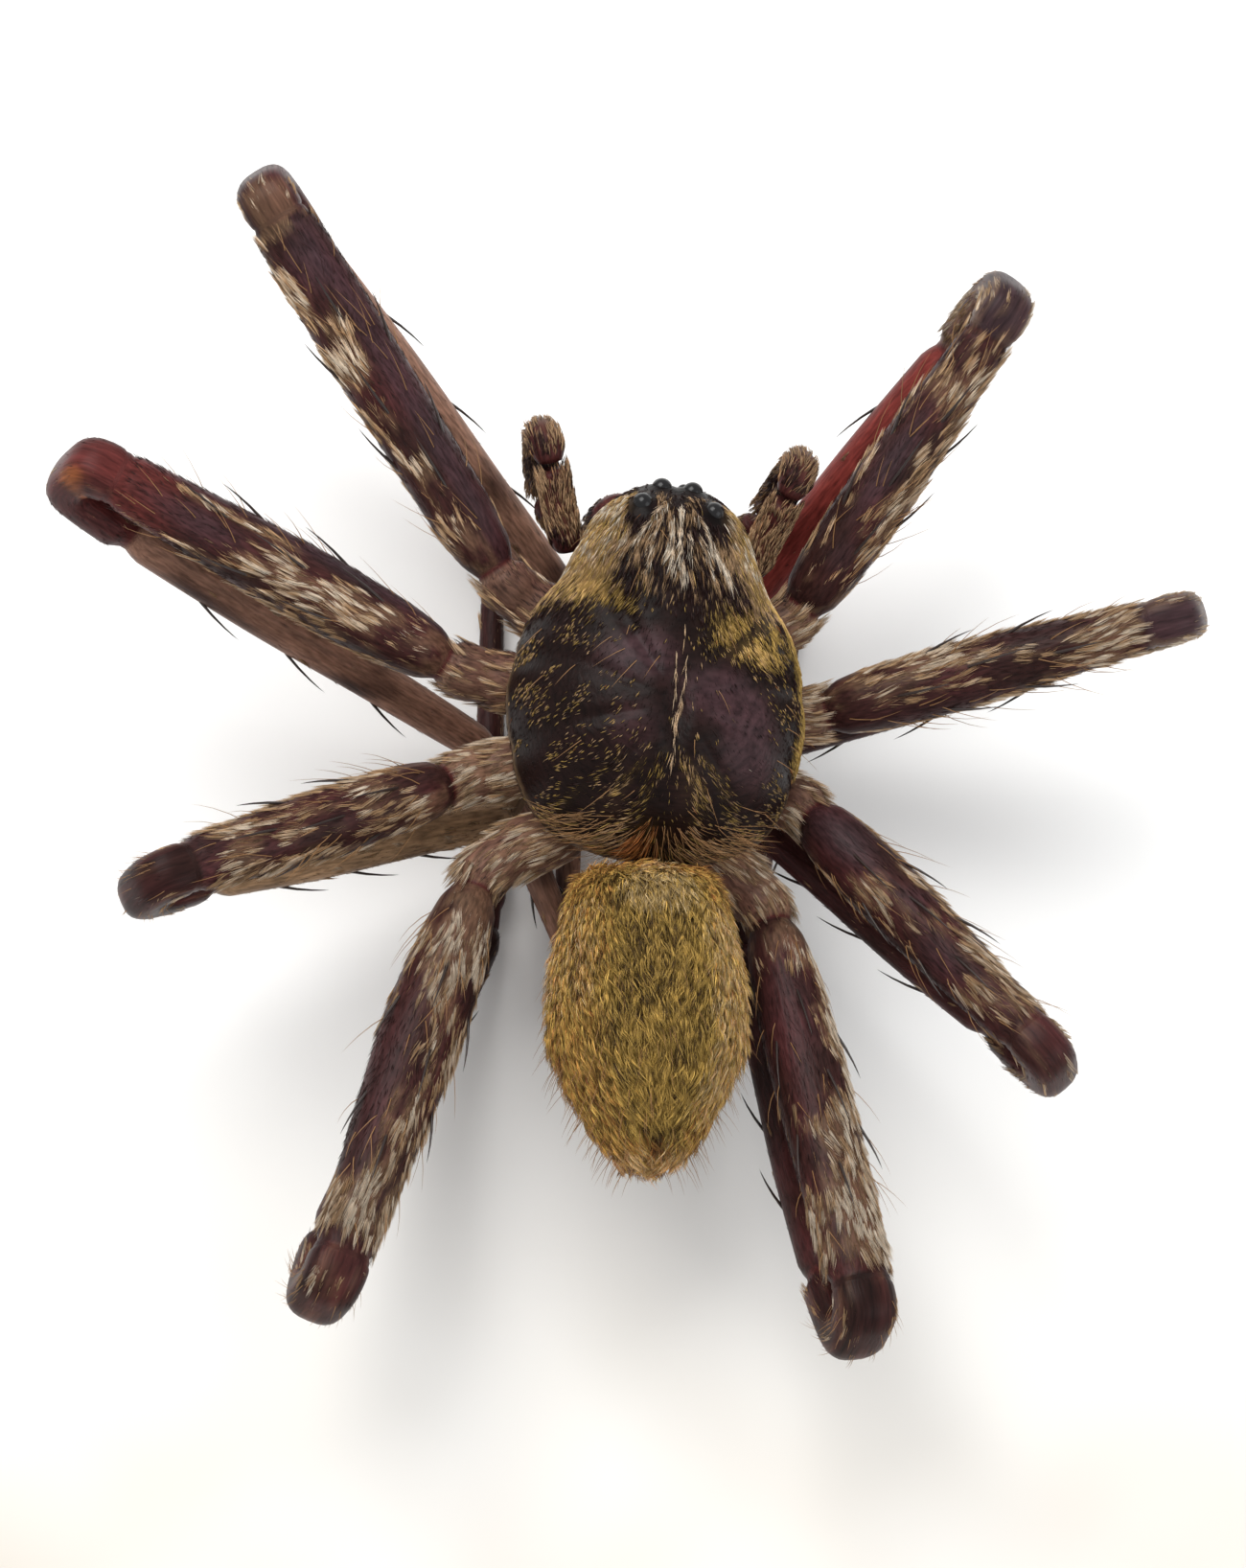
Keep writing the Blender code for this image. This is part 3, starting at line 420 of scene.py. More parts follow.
# The tints that a point can carry over the dark cuticle, mixed in this order. Shade multiplies the result,
# and on hairs it also holds the painted shade of the root and the painted light of the tip.
TINTS = ("maroon", "red", "pink", "grey", "tan", "gold", "rust", "cream", "shade")
LAST = len(TINTS) - 1


def no_tints(count):
    tints = np.zeros((count, len(TINTS)))
    paint(tints, shade=1.0)
    return tints


def tint(name):
    return TINTS.index(name)


def paint(tints, rows=slice(None), **amounts):
    """Set tints by their names, on all points or on some."""
    for name, amount in amounts.items():
        tints[rows, tint(name)] = amount


def smooth(low, high, values):
    """0 below low, 1 above high, and a soft step between."""
    share = np.clip((np.asarray(values, float) - low) / (high - low), 0.0, 1.0)
    return share * share * (3.0 - 2.0 * share)


def spot(x, y, middle_x, middle_y, half_x, half_y):
    """1 at the middle of a soft oval and 0 well outside it."""
    return np.exp(-(((x - middle_x) / half_x) ** 2 + ((y - middle_y) / half_y) ** 2) ** 2)


# What each leg shows: how pale its coat is, how the pale part leans to one side, the painted sheen of its
# bare places (a grey-lilac tint), its knee, and its shank's tint with its strength and how much of it the
# coat covers.
Look = collections.namedtuple("Look", "seed pale slant sheen knee tone strength hairy")
LEG_LOOKS = {
    "L1": Look(1, 0.30, 0.10, 0.5, "streaked", "pink", 0.62, 0.08),
    "L2": Look(2, 0.34, 0.10, 0.5, "red", "pink", 0.50, 0.12),
    "L3": Look(3, 0.52, 0.03, 0.1, "bare", "tan", 0.45, 0.50),
    "L4": Look(4, 0.47, 0.06, 0.1, "bare", "maroon", 0.30, 0.35),
    "R1": Look(5, 0.46, -0.05, 0.4, "pale", "red", 0.80, 0.05),
    "R2": Look(6, 0.54, 0.04, 0.1, "pale", "maroon", 0.50, 0.40),
    "R3": Look(7, 0.42, 0.06, 0.3, "mottled", "maroon", 0.40, 0.40),
    "R4": Look(8, 0.45, 0.10, 0.1, "bare", "maroon", 0.60, 0.30),
}

# Places on the femurs: part of the length, side (1 is the left as seen from the hip), half sizes, and
# how much paler the coat is there (below zero: bare).
LEG_SPOTS = {
    "L1": ((0.88, -0.05, 0.08, 0.50, -0.4), (0.50, -0.62, 0.60, 0.36, -0.5), (0.30, 0.25, 0.05, 0.40, 0.30),
           (0.43, 0.45, 0.05, 0.45, 0.30), (0.60, 0.45, 0.06, 0.60, 0.40), (0.70, 0.10, 0.05, 0.40, 0.40),
           (0.82, 0.75, 0.06, 0.40, 0.30), (0.04, 0.00, 0.10, 1.20, 0.25)),
    "L2": ((0.30, -0.55, 0.32, 0.34, -0.6), (0.80, 0.40, 0.16, 0.40, -0.4), (0.80, -0.75, 0.20, 0.30, -0.3),
           (0.66, -0.22, 0.20, 0.16, 0.50), (0.35, 0.45, 0.26, 0.45, 0.26), (0.02, 0.00, 0.08, 1.20, 0.20)),
    "L3": ((0.95, 0.00, 0.07, 1.20, -0.6), (0.45, 0.15, 0.07, 0.22, -0.3), (0.76, 0.35, 0.08, 0.30, -0.35),
           (0.12, -0.30, 0.08, 0.40, -0.2), (0.85, -0.40, 0.06, 0.50, -0.15)),
    "L4": ((0.60, -0.70, 0.22, 0.34, -0.6), (0.88, 0.55, 0.07, 0.30, -0.35), (0.27, 0.60, 0.06, 0.25, -0.4),
           (0.88, -0.10, 0.09, 0.45, 0.45), (0.66, 0.30, 0.10, 0.40, 0.20), (0.12, 0.00, 0.16, 1.20, 0.30),
           (0.62, 0.00, 0.03, 0.12, -0.3)),
    "R1": ((0.52, 0.45, 0.20, 0.36, -0.6), (0.20, 0.10, 0.06, 0.40, -0.25), (0.60, -0.50, 0.40, 0.40, 0.14)),
    "R2": ((0.28, -0.68, 0.28, 0.26, -0.7), (0.68, 0.72, 0.18, 0.22, -0.5), (0.34, 0.10, 0.06, 0.30, -0.25),
           (0.55, -0.05, 0.05, 0.30, -0.2), (0.92, 0.00, 0.10, 1.00, 0.15)),
    "R3": ((0.14, 0.05, 0.17, 0.70, -0.7), (0.47, 0.30, 0.05, 0.36, -0.4), (0.68, -0.50, 0.10, 0.40, -0.5),
           (0.74, 0.55, 0.10, 0.36, 0.30), (0.90, 0.00, 0.10, 0.80, 0.20), (0.33, -0.20, 0.06, 0.50, 0.20)),
    "R4": ((0.29, -0.35, 0.15, 0.62, -0.7), (0.48, -0.60, 0.10, 0.24, -0.3), (0.28, 0.12, 0.03, 0.12, 0.5),
           (0.57, 0.35, 0.05, 0.20, 0.55), (0.72, 0.10, 0.20, 0.70, 0.25), (0.30, 0.85, 0.30, 0.22, 0.5),
           (0.08, 0.00, 0.08, 1.20, 0.20)),
}
TUFT_EDGE = 0.45


def leg_marks(name, segment, part, angle, strand):
    """Cover of the coat, paleness and cuticle tints on a leg."""
    look = LEG_LOOKS[name]
    count = len(part)
    seed = look.seed
    knee = look.knee
    side = np.cos(angle)
    broad = patches(strand * np.array((0.45, 0.8, 0.8)), 1.0, seed)
    streak = patches(strand * np.array((0.8, 2.8, 2.8)), 1.0, seed + 20)
    fine = patches(strand * np.array((1.4, 6.0, 6.0)), 1.0, seed + 30)
    cuticle = no_tints(count)
    paint(cuticle, maroon=np.clip(0.55 + 0.9 * broad, 0.15, 1.0))
    pale = look.pale + look.slant * side + 0.20 * broad + 0.34 * streak + 0.20 * fine
    cover = np.ones(count)
    if segment == "coxa":
        pale = pale + 0.10
        paint(cuticle, pink=0.25)
    elif segment == "femur":
        bare = np.zeros(count)
        for spot_part, spot_side, half_part, half_side, strength in LEG_SPOTS[name]:
            here = spot(part, side, spot_part, spot_side, half_part, half_side)
            pale = pale + strength * here
            bare = bare + np.clip(-strength, 0.0, 0.6) * here
        # Painted sheen: a grey-lilac tint on the bare places stands for their shine.
        paint(cuticle, grey=np.clip(look.sheen * 1.4 * bare, 0.0, 0.5))
        if knee == "bare":
            pale = pale + 0.30 * smooth(0.72, 0.84, part) * (1.0 - smooth(0.93, 0.98, part))
            cover = cover * (1.0 - 0.8 * smooth(0.95, 0.99, part))
        elif knee == "red":
            pale = pale - 0.16 * smooth(0.72, 0.90, part)
            paint(cuticle, red=0.30 * smooth(0.74, 0.92, part))
        elif knee == "streaked":
            pale = pale + 0.45 * smooth(0.955, 0.985, part)
    elif segment == "patella":
        far = smooth(0.14, 0.26, part)
        if knee == "bare":
            cover = cover * 0.40
            pale = 0.40 + 0.35 * streak + 0.45 * fine
            paint(cuticle, maroon=np.clip(0.45 + 0.8 * broad, 0.10, 0.9),
                  red=np.clip(0.02 + 0.2 * streak, 0.0, 0.08), shade=np.clip(0.85 + 0.8 * streak, 0.5, 1.1))
        elif knee == "red":
            cover = cover * 0.6
            pale = pale - 0.10
            paint(cuticle, maroon=0.9, red=np.clip(0.10 + 0.4 * broad, 0.02, 0.35),
                  rust=0.35 * spot(part, side, 0.22, 0.75, 0.08, 0.30))
        elif knee == "streaked":
            pale = pale + 0.24 - 0.55 * far
            cover = cover * (1.0 - 0.4 * far)
        elif knee == "pale":
            pale = pale + 0.10 + 0.16 * np.cos(angle * 2.0)
            paint(cuticle, grey=0.3)
    elif segment in ("tibia", "metatarsus"):
        mottle = np.clip(1.0 + 1.4 * broad, 0.0, 1.0)
        paint(cuticle, **{look.tone: np.maximum(cuticle[:, tint(look.tone)], look.strength * mottle)})
        cover = cover * look.hairy * (0.7 + 0.5 * smooth(-0.2, 0.4, broad))
        pale = pale - 0.08
    else:
        cover = cover * 0.8
    return cover, pale, cuticle


def tuft_tints(bright, rng):
    """The tints of pale tufts, from dull tan (0) to white (1)."""
    count = len(bright)
    tints = no_tints(count)
    paint(tints, tan=rng.uniform(0.55, 1.0, count),
          cream=np.clip(bright * 0.90 - 0.30 + 0.15 * rng.standard_normal(count), 0.0, 0.9))
    warm = rng.random(count) < 0.14
    paint(tints, warm, rust=rng.uniform(0.15, 0.40, warm.sum()))
    paint(tints, shade=rng.uniform(0.55, 1.15, count) + 0.15 * bright)
    return tints


def leg_hair_tints(pale, rng):
    """The tints of single hairs, from the paleness where they grow, and which of them are light."""
    count = len(pale)
    light = pale + 0.07 * rng.standard_normal(count) > TUFT_EDGE - 0.04
    tints = no_tints(count)
    paint(tints, maroon=rng.uniform(0.0, 0.6, count))
    paint(tints, light, tan=rng.uniform(0.25, 0.80, light.sum()))
    warm = (rng.random(count) < 0.14) & light
    paint(tints, warm, rust=rng.uniform(0.15, 0.40, warm.sum()))
    paint(tints, shade=rng.uniform(0.50, 1.10, count))
    return tints, light


# How far the skin and the loose pieces stay above the floor, in metres.
SKIN_CLEARANCE = 0.00002
PIECE_CLEARANCE = 0.00001


def ring_faces(rows, columns, first):
    """Faces between rows of points that meet themselves, from the number of the first point."""
    index = first + np.arange(rows * columns).reshape(rows, columns)
    across = np.roll(index, -1, axis=1)
    return np.stack((index[:-1], across[:-1], across[1:], index[1:]), axis=-1).reshape(-1, 4).tolist()


def ring_caps(rows, columns, first):
    """The faces that close the two ends of such rows."""
    last = first + (rows - 1) * columns
    return [list(range(first, first + columns))[::-1], list(range(last, last + columns))]


def scene_points(points, clearance):
    """Points in metres round the outline's middle, none of them under the floor."""
    points = (np.array(points) - OUTLINE_MIDDLE) * MM
    points[:, 2] = np.maximum(points[:, 2], clearance)
    return points


def link_mesh(name, mesh):
    """A smooth-shaded object of a mesh, in the scene."""
    mesh.polygons.foreach_set("use_smooth", [True] * len(mesh.polygons))
    thing = bpy.data.objects.new(name, mesh)
    bpy.context.scene.collection.objects.link(thing)
    return thing


def plain_object(name, points, faces, clearance=PIECE_CLEARANCE):
    mesh = bpy.data.meshes.new(name)
    mesh.from_pydata(scene_points(points, clearance).tolist(), [], faces)
    mesh.update()
    return link_mesh(name, mesh)


class Skin:
    """Points, faces and tints gathered for one mesh."""

    def __init__(self):
        self.points = []
        self.faces = []
        self.tints = []
        self.strands = []
        self.count = 0

    def add_rings(self, points, tints, strands):
        """Join rows of points that meet themselves into a closed tube."""
        rows, columns = points.shape[:2]
        self.faces.extend(ring_faces(rows, columns, self.count))
        self.faces.extend(ring_caps(rows, columns, self.count))
        self.points.append(points.reshape(-1, 3))
        self.tints.append(tints.reshape(-1, len(TINTS)))
        self.strands.append(strands.reshape(-1, 3))
        self.count += rows * columns

    def make(self, name):
        thing = plain_object(name, np.concatenate(self.points), self.faces, SKIN_CLEARANCE)
        write_tints(thing.data, np.concatenate(self.tints))
        strand = thing.data.attributes.new("strand", "FLOAT_VECTOR", "POINT")
        strand.data.foreach_set("vector", np.concatenate(self.strands).astype(np.float32).ravel())
        return thing


def write_tints(mesh, tints):
    for column, name in enumerate(TINTS):
        attribute = mesh.attributes.new(name, "FLOAT", "POINT")
        attribute.data.foreach_set("value", tints[:, column].astype(np.float32))


def tube_strand(tube, part, angle):
    """Where a point lies along and round a limb, in millimetres."""
    width, height = np.moveaxis(tube.half_sizes(part), -1, 0)
    return np.stack((part * tube.length, width * np.cos(angle), height * np.sin(angle)), axis=-1)


def stretches(*runs):
    """Evenly spaced values in several stretches: each runs from a value to a value, with a count."""
    return np.concatenate([np.linspace(*run) for run in runs])


def ring_grid(parts, sides):
    """The part and the angle of every point of a tube's rings."""
    angles = -math.pi / 2.0 + 2.0 * math.pi * np.arange(sides) / sides
    part, angle = np.meshgrid(parts, angles, indexing="ij")
    return part.ravel(), angle.ravel()


def even_parts(tube, spacing, ends=0.04):
    """Parts along a tube, closer together at its rounded ends."""
    count = max(4, int(tube.length / spacing))
    return np.concatenate(((0.0, ends * 0.5), np.linspace(ends, 1.0 - ends, count), (1.0 - ends * 0.5, 1.0)))


def tube_rings(tube, parts, sides, marks):
    """Rows of points of a tube, with their tints and strands."""
    part, angle = ring_grid(parts, sides)
    points = tube.place(part, angle)[0]
    strand = tube_strand(tube, part, angle)
    cover, pale, cuticle = marks(part, angle, strand)
    tints = under_coat(cover, pale, cuticle)
    shape = (len(parts), sides)
    return points.reshape(*shape, 3), tints.reshape(*shape, len(TINTS)), strand.reshape(*shape, 3)


def under_coat(cover, pale, cuticle):
    """The skin's tints: the cuticle's own, with some of the coat's where it is thick and pale."""
    tints = cuticle.copy()
    paint(tints, tan=np.maximum(tints[:, tint("tan")], 0.10 * cover * smooth(TUFT_EDGE, 0.65, pale)))
    return tints


def add_tube(skin, tube, spacing, sides, marks):
    points, tints, strands = tube_rings(tube, even_parts(tube, spacing), sides, marks)
    skin.add_rings(points, tints, strands)


def joined_rings(sheets, knee=None):
    """Put the rings of several tubes in one row, with a pinched ring of bare joint skin between each two.

    The joint after the sheet numbered knee is neither pinched nor bare."""
    points = [sheets[0][0]]
    tints = [sheets[0][1]]
    strands = [sheets[0][2]]
    for number, (before, after) in enumerate(zip(sheets, sheets[1:])):
        middle = (before[0][-1] + after[0][0]) / 2.0
        centre = middle.mean(axis=0)
        joint = no_tints(len(middle))
        paint(joint, maroon=0.8, red=0.2)
        pinch = 0.93
        if number == knee:
            joint = after[1][0]
            pinch = 1.03
        points += [(centre + (middle - centre) * pinch)[None], after[0]]
        tints += [joint[None], after[1]]
        strands += [before[2][-1:], after[2]]
    return np.concatenate(points), np.concatenate(tints), np.concatenate(strands)


def segment_rings(limb, segments, spacing, sides):
    """The rings of some segments of a leg, each with its markings."""
    sheets = []
    for segment in segments:
        tube = limb.tubes[segment]
        marks = functools.partial(leg_marks, limb.name, segment)
        sheets.append(tube_rings(tube, even_parts(tube, spacing), sides, marks))
    return sheets


# How far apart the rings of a leg's skin are, in millimetres, and how many points each has.
LEG_RINGS = (0.22, 28)
FOOT_RINGS = (0.35, 16)


def add_leg(skin, limb):
    """The skin of one leg: a closed sheet from hip to shank, and one for the foot, rooted in the shank."""
    sheets = segment_rings(limb, ("coxa", "femur", "patella", "tibia"), *LEG_RINGS)
    skin.add_rings(*joined_rings(sheets, knee=1))
    sheets = segment_rings(limb, ("metatarsus", "tarsus"), *FOOT_RINGS)
    points, tints, strands = joined_rings(sheets)
    root = points[0].mean(axis=0)
    back = unit(root - points[3].mean(axis=0)) * ANKLE_NECK
    neck = root + (points[0] - root) * 0.85 + back
    points = np.concatenate((neck[None], points))
    tints = np.concatenate((tints[:1], tints))
    strands = np.concatenate((strands[:1], strands))
    skin.add_rings(points, tints, strands)


class Dome:
    """The carapace's surface: along it from rear (0) to front (1), across it from right (0) to left (1)."""

    REAR = -5.66
    FRONT = 7.86

    def __init__(self, depth):
        self.depth = depth
        rear = (self.REAR, 0.9, 0.35, 2.0)
        front = (self.FRONT, 1.35, 2.1, 2.6)
        self.table = (rear,) + CARAPACE + (front,)

    def local(self, along, across):
        ahead = self.REAR + (self.FRONT - self.REAR) * along
        half_width, height, square = np.moveaxis(read_table(self.table, ahead), -1, 0)
        half_width = half_width - self.depth
        height = height - self.depth
        lean = math.pi * across
        side = half_width * np.sign(np.cos(lean)) * np.abs(np.cos(lean)) ** (2.0 / square)
        up = height * np.abs(np.sin(lean)) ** (2.0 / square)
        behind, dip, length, breadth = FOVEA
        up = up - dip * np.exp(-((ahead - behind) / length) ** 2 - (side / breadth) ** 2)
        return np.stack((side, ahead, up), axis=-1)

    def relief(self, local):
        """How far the fine forms stand out of the dome: eye mounds, furrows and the rim's ridge."""
        side, ahead, up = np.moveaxis(local, -1, 0)
        out = np.zeros(side.shape)
        for x, y, z, radius in EYES:
            distance = np.sqrt((np.abs(side) - x) ** 2 + (ahead - y) ** 2 + (up - z) ** 2)
            out += 0.5 * radius * np.exp(-(distance / (1.45 * radius)) ** 2)
        bearing = np.degrees(np.arctan2(np.abs(side), ahead + 1.2))
        reach = np.hypot(side, ahead + 1.2)
        for direction, depth in ((33.0, 0.16), (66.0, 0.10), (100.0, 0.11), (138.0, 0.10)):
            out -= depth * np.exp(-((bearing - direction) / 6.0) ** 2) * smooth(0.8, 2.2, reach)
        out += 0.06 * np.exp(-((up - 0.30) / 0.16) ** 2)
        return out

    def base(self, along, across):
        step = 0.002
        here = self.local(along, across)
        on = self.local(np.clip(along + step, 0.0, 1.0), across)
        off = self.local(np.clip(along - step, 0.0, 1.0), across)
        left = self.local(along, np.clip(across + step, 0.0, 1.0))
        right = self.local(along, np.clip(across - step, 0.0, 1.0))
        return here, unit(np.cross(left - right, off - on))

    def place(self, along, across):
        """Positions, outward normals and the coat's lie, with the place in the body's own frame."""
        here, normal = self.base(along, across)
        local = here + normal * self.relief(here)[..., None]
        side, ahead = np.moveaxis(here, -1, 0)[:2]
        spread = np.interp(ahead, (-5.5, -2.0, 2.0, 5.0), (0.9, 0.45, 0.26, 0.12))
        flow = np.stack((side * spread, -np.ones(side.shape), np.zeros(side.shape)), axis=-1)
        flow = flattened(unit(flow), normal)
        return lean_head(local) @ BODY_TURN.T + BODY_PLACE, normal @ BODY_TURN.T, flow @ BODY_TURN.T, here


def stroke(x, y, start, end, width):
    """1 along a line and 0 well beside it."""
    start = np.array(start)
    way = np.array(end) - start
    share = np.clip(((x - start[0]) * way[0] + (y - start[1]) * way[1]) / (way @ way), 0.0, 1.0)
    distance = np.hypot(x - start[0] - share * way[0], y - start[1] - share * way[1])
    return np.exp(-(distance / width) ** 2)


# Cream lines on the head and along the furrow, in the body's own frame: start, end, width, strength.
CREAM_LINES = (
    ((-0.27, 6.1), (-0.30, 4.1), 0.07, 0.85), ((0.05, 6.7), (0.04, 3.5), 0.06, 0.95),
    ((0.38, 5.6), (0.40, 4.6), 0.05, 0.6), ((-0.35, 6.7), (-1.45, 5.1), 0.06, 0.65),
    ((-0.55, 6.1), (-1.15, 4.6), 0.05, 0.45), ((0.65, 6.3), (1.15, 5.2), 0.06, 0.55),
    ((1.15, 5.2), (1.75, 4.0), 0.11, 0.95), ((0.75, 5.5), (1.10, 4.2), 0.05, 0.5),
    ((-1.75, 5.5), (-1.95, 5.0), 0.08, 0.7), ((-0.85, 4.9), (-1.25, 3.9), 0.05, 0.45),
    ((-0.24, 0.9), (-0.05, -1.9), 0.04, 0.26), ((0.22, 0.9), (0.04, -1.9), 0.04, 0.30),
    ((0.02, -1.7), (-0.02, -3.2), 0.04, 0.26), ((0.02, 2.2), (0.02, 1.1), 0.03, 0.10),
)


# Bare, shining places of the carapace, their shine painted as a grey-lilac tint: side, ahead, half sizes,
# strength.
BARE_SPOTS = ((-1.5, 0.6, 1.5, 1.0, 1.0), (1.6, -0.5, 1.7, 1.1, 1.0), (2.9, -2.0, 1.3, 1.5, 1.0),
              (-1.4, -1.9, 1.0, 1.0, 0.5))
# Where the golden strip of the right rim starts, at places ahead of the middle.
RIM_AHEAD = (-2.0, 0.0, 1.4, 2.6, 3.8, 4.9)
RIM_SIDE = (5.3, 5.6, 5.4, 5.0, 4.4, 3.7)


def carapace_marks(here):
    """Long hair's cover, commas' cover, paleness, gold, rust, cream and cuticle tints of the carapace."""
    side, ahead, up = np.moveaxis(here, -1, 0)
    count = len(side)
    flat = np.stack((side, ahead, np.zeros(count)), axis=-1)
    broad = patches(flat * 0.8, 1.0, 61)
    clump = patches(flat * np.array((1.6, 1.3, 1.0)), 1.0, 63)
    fine = patches(flat * np.array((6.0, 1.6, 1.0)), 1.0, 62)
    off_middle = np.abs(side)
    head = smooth(2.2, 4.2, ahead)
    cheek = smooth(1.6, 2.4, off_middle + 0.30 * (ahead - 5.0)) * head
    bare = np.clip(sum(strength * spot(side, ahead, *place) for *place, strength in BARE_SPOTS), 0.0, 1.0)
    front_right = spot(side, ahead, 2.5, 1.9, 1.9, 1.15)
    front_left = spot(side, ahead, -2.6, 3.0, 1.5, 1.2)
    rim_right = smooth(-0.9, -0.3, side - np.interp(ahead, RIM_AHEAD, RIM_SIDE))
    rim_right = rim_right * smooth(-2.6, -1.2, ahead) * (1.0 - smooth(4.2, 5.2, ahead))
    bearing = np.arctan2(side + 0.1, -(ahead + 1.8))
    reach = np.hypot(side + 0.1, ahead + 1.8)
    fan_streaks = patches(np.stack((bearing * 5.0, reach * 0.5, np.zeros(count)), axis=-1), 1.0, 64)
    fan = smooth(1.15, 0.85, np.abs(bearing)) * smooth(0.5, 1.2, reach) * smooth(-0.5, -2.2, ahead)
    rust = 0.95 * spot(side, ahead, -0.35, -5.20, 0.42, 0.38) + 0.25 * smooth(-5.0, -5.4, ahead)
    dark = (spot(side, ahead, -1.31, 6.25, 0.45, 0.75) + spot(side, ahead, 1.31, 6.25, 0.40, 0.75)
            + smooth(7.0, 7.3, ahead))
    dark = np.clip(dark, 0.0, 1.0)
    commas = (1.0 - bare) * (1.0 - head) * smooth(-0.25, 0.45, clump)
    commas = commas * (0.25 + 0.75 * smooth(0.3, 2.2, off_middle))
    commas = commas * (0.55 + 0.45 * smooth(2.6, 4.2, off_middle)) * smooth(0.30, 0.55, up)
    cream = np.zeros(count)
    for start, end, width, strength in CREAM_LINES:
        cream = np.maximum(cream, strength * stroke(side, ahead, start, end, width))
    cover = (0.95 * front_right * smooth(-0.5, 0.1, fine) + rim_right
             + 0.65 * front_left * smooth(-0.4, 0.3, fine) + 0.60 * fan * smooth(0.0, 0.3, fan_streaks)
             + (0.55 + 0.4 * cheek) * head + cream + rust)
    cover = np.clip(cover * (1.0 - 0.5 * dark), 0.0, 1.0) * smooth(0.30, 0.55, up)
    pale = (0.36 * head + 0.55 * fine * head + 0.25 * broad + 0.34 * cheek + 0.40 * front_right * (0.5 + fine)
            + 0.28 * fan + 0.10) * (1.0 - dark)
    cream = np.maximum(cream, (0.28 + 0.5 * fine) * cheek * smooth(3.8, 5.0, ahead)) * (1.0 - 0.8 * dark)
    gold = (0.75 * front_right + 0.9 * rim_right + 0.42 * cheek + 0.30 * fan
            + 0.55 * front_left * smooth(-0.5, 0.4, fine)) * (1.0 - 0.8 * dark)
    rim = np.exp(-((up - 0.28) / 0.15) ** 2)
    cuticle = no_tints(count)
    # Painted sheen: the grey tint in the bare places stands for their shine; the maroon is the cuticle's own
    # colour.
    paint(cuticle, maroon=np.clip(0.06 + 0.30 * broad + 0.34 * bare, 0.0, 0.6) * (1.0 - 0.8 * dark),
          grey=0.30 * bare, tan=np.maximum(0.45 * rim, 0.15 * cheek),
          gold=np.clip(0.22 * cover * gold, 0.0, 0.25), shade=(1.0 - 0.6 * dark) * (0.36 + 0.66 * bare))
    return {"cover": cover, "commas": commas, "pale": pale, "gold": np.clip(gold, 0.0, 1.0),
            "rust": np.clip(rust, 0.0, 1.0), "cream": np.clip(cream, 0.0, 1.0), "cuticle": cuticle}


def carapace_hair_tints(pale, gold, rust, cream, rng):
    count = len(pale)
    tints = no_tints(count)
    paint(tints, maroon=rng.uniform(0.0, 0.4, count))
    light = pale + 0.10 * rng.standard_normal(count) > 0.42
    paint(tints, light, tan=rng.uniform(0.45, 0.90, light.sum()))
    golden = gold * 0.9 + 0.14 * rng.standard_normal(count) > 0.34
    paint(tints, golden, gold=rng.uniform(0.30, 0.75, golden.sum()))
    rusty = rust + 0.15 * rng.standard_normal(count) > 0.42
    paint(tints, rusty, rust=rng.uniform(0.6, 1.0, rusty.sum()))
    white = cream + 0.10 * rng.standard_normal(count) > 0.36
    paint(tints, white, tan=0.8, cream=rng.uniform(0.45, 0.95, white.sum()))
    paint(tints, shade=rng.uniform(0.40, 0.95, count) + 0.35 * smooth(0.40, 0.75, gold))
    return tints


# The carapace's folded underside: share of the width at each turn in from the rim, and its height.
FOLD_SHARES = (0.97, 0.6, 0.0)
FOLD_HEIGHT = -0.24


def add_carapace(skin, dome):
    """The carapace's skin: over the top from rim to rim, and folded in under each rim."""
    along = stretches((0.0, 0.06, 12), (0.065, 0.93, 150), (0.935, 1.0, 24))
    grid_along, grid_across = np.meshgrid(along, np.linspace(0.0, 1.0, 141), indexing="ij")
    shape = grid_along.shape
    points, here = dome.place(grid_along.ravel(), grid_across.ravel())[::3]
    marks = carapace_marks(here)
    tints = marks["cuticle"]
    paint(tints, tan=np.maximum(tints[:, tint("tan")], 0.18 * smooth(0.4, 0.9, marks["pale"])))
    strand = here * np.array((1.0, 0.35, 1.0))
    points, tints, strand, here = [values.reshape(*shape, -1) for values in (points, tints, strand, here)]

    def fold(column, share):
        under = here[:, column] * np.array((share, 1.0, 0.0)) + np.array((0.0, 0.0, FOLD_HEIGHT))
        return (under @ BODY_TURN.T + BODY_PLACE)[:, None]

    def rimmed(values):
        """The rows, with the rim's own values on the folded columns."""
        right_edge = [values[:, :1]] * len(right)
        left_edge = [values[:, -1:]] * len(left)
        return np.concatenate((*right_edge, values, *left_edge), axis=1)

    right = [fold(0, share) for share in FOLD_SHARES[::-1]]
    left = [fold(-1, share) for share in FOLD_SHARES[:2]]
    skin.add_rings(np.concatenate((*right, points, *left), axis=1), rimmed(tints), rimmed(strand))


def abdomen_tube(depth):
    path = straight(np.array(ABDOMEN_START), np.array(ABDOMEN_END), 60)
    return Tube(path, BODY_TURN[:, 0], BODY_TURN[:, 2], ABDOMEN, depth)


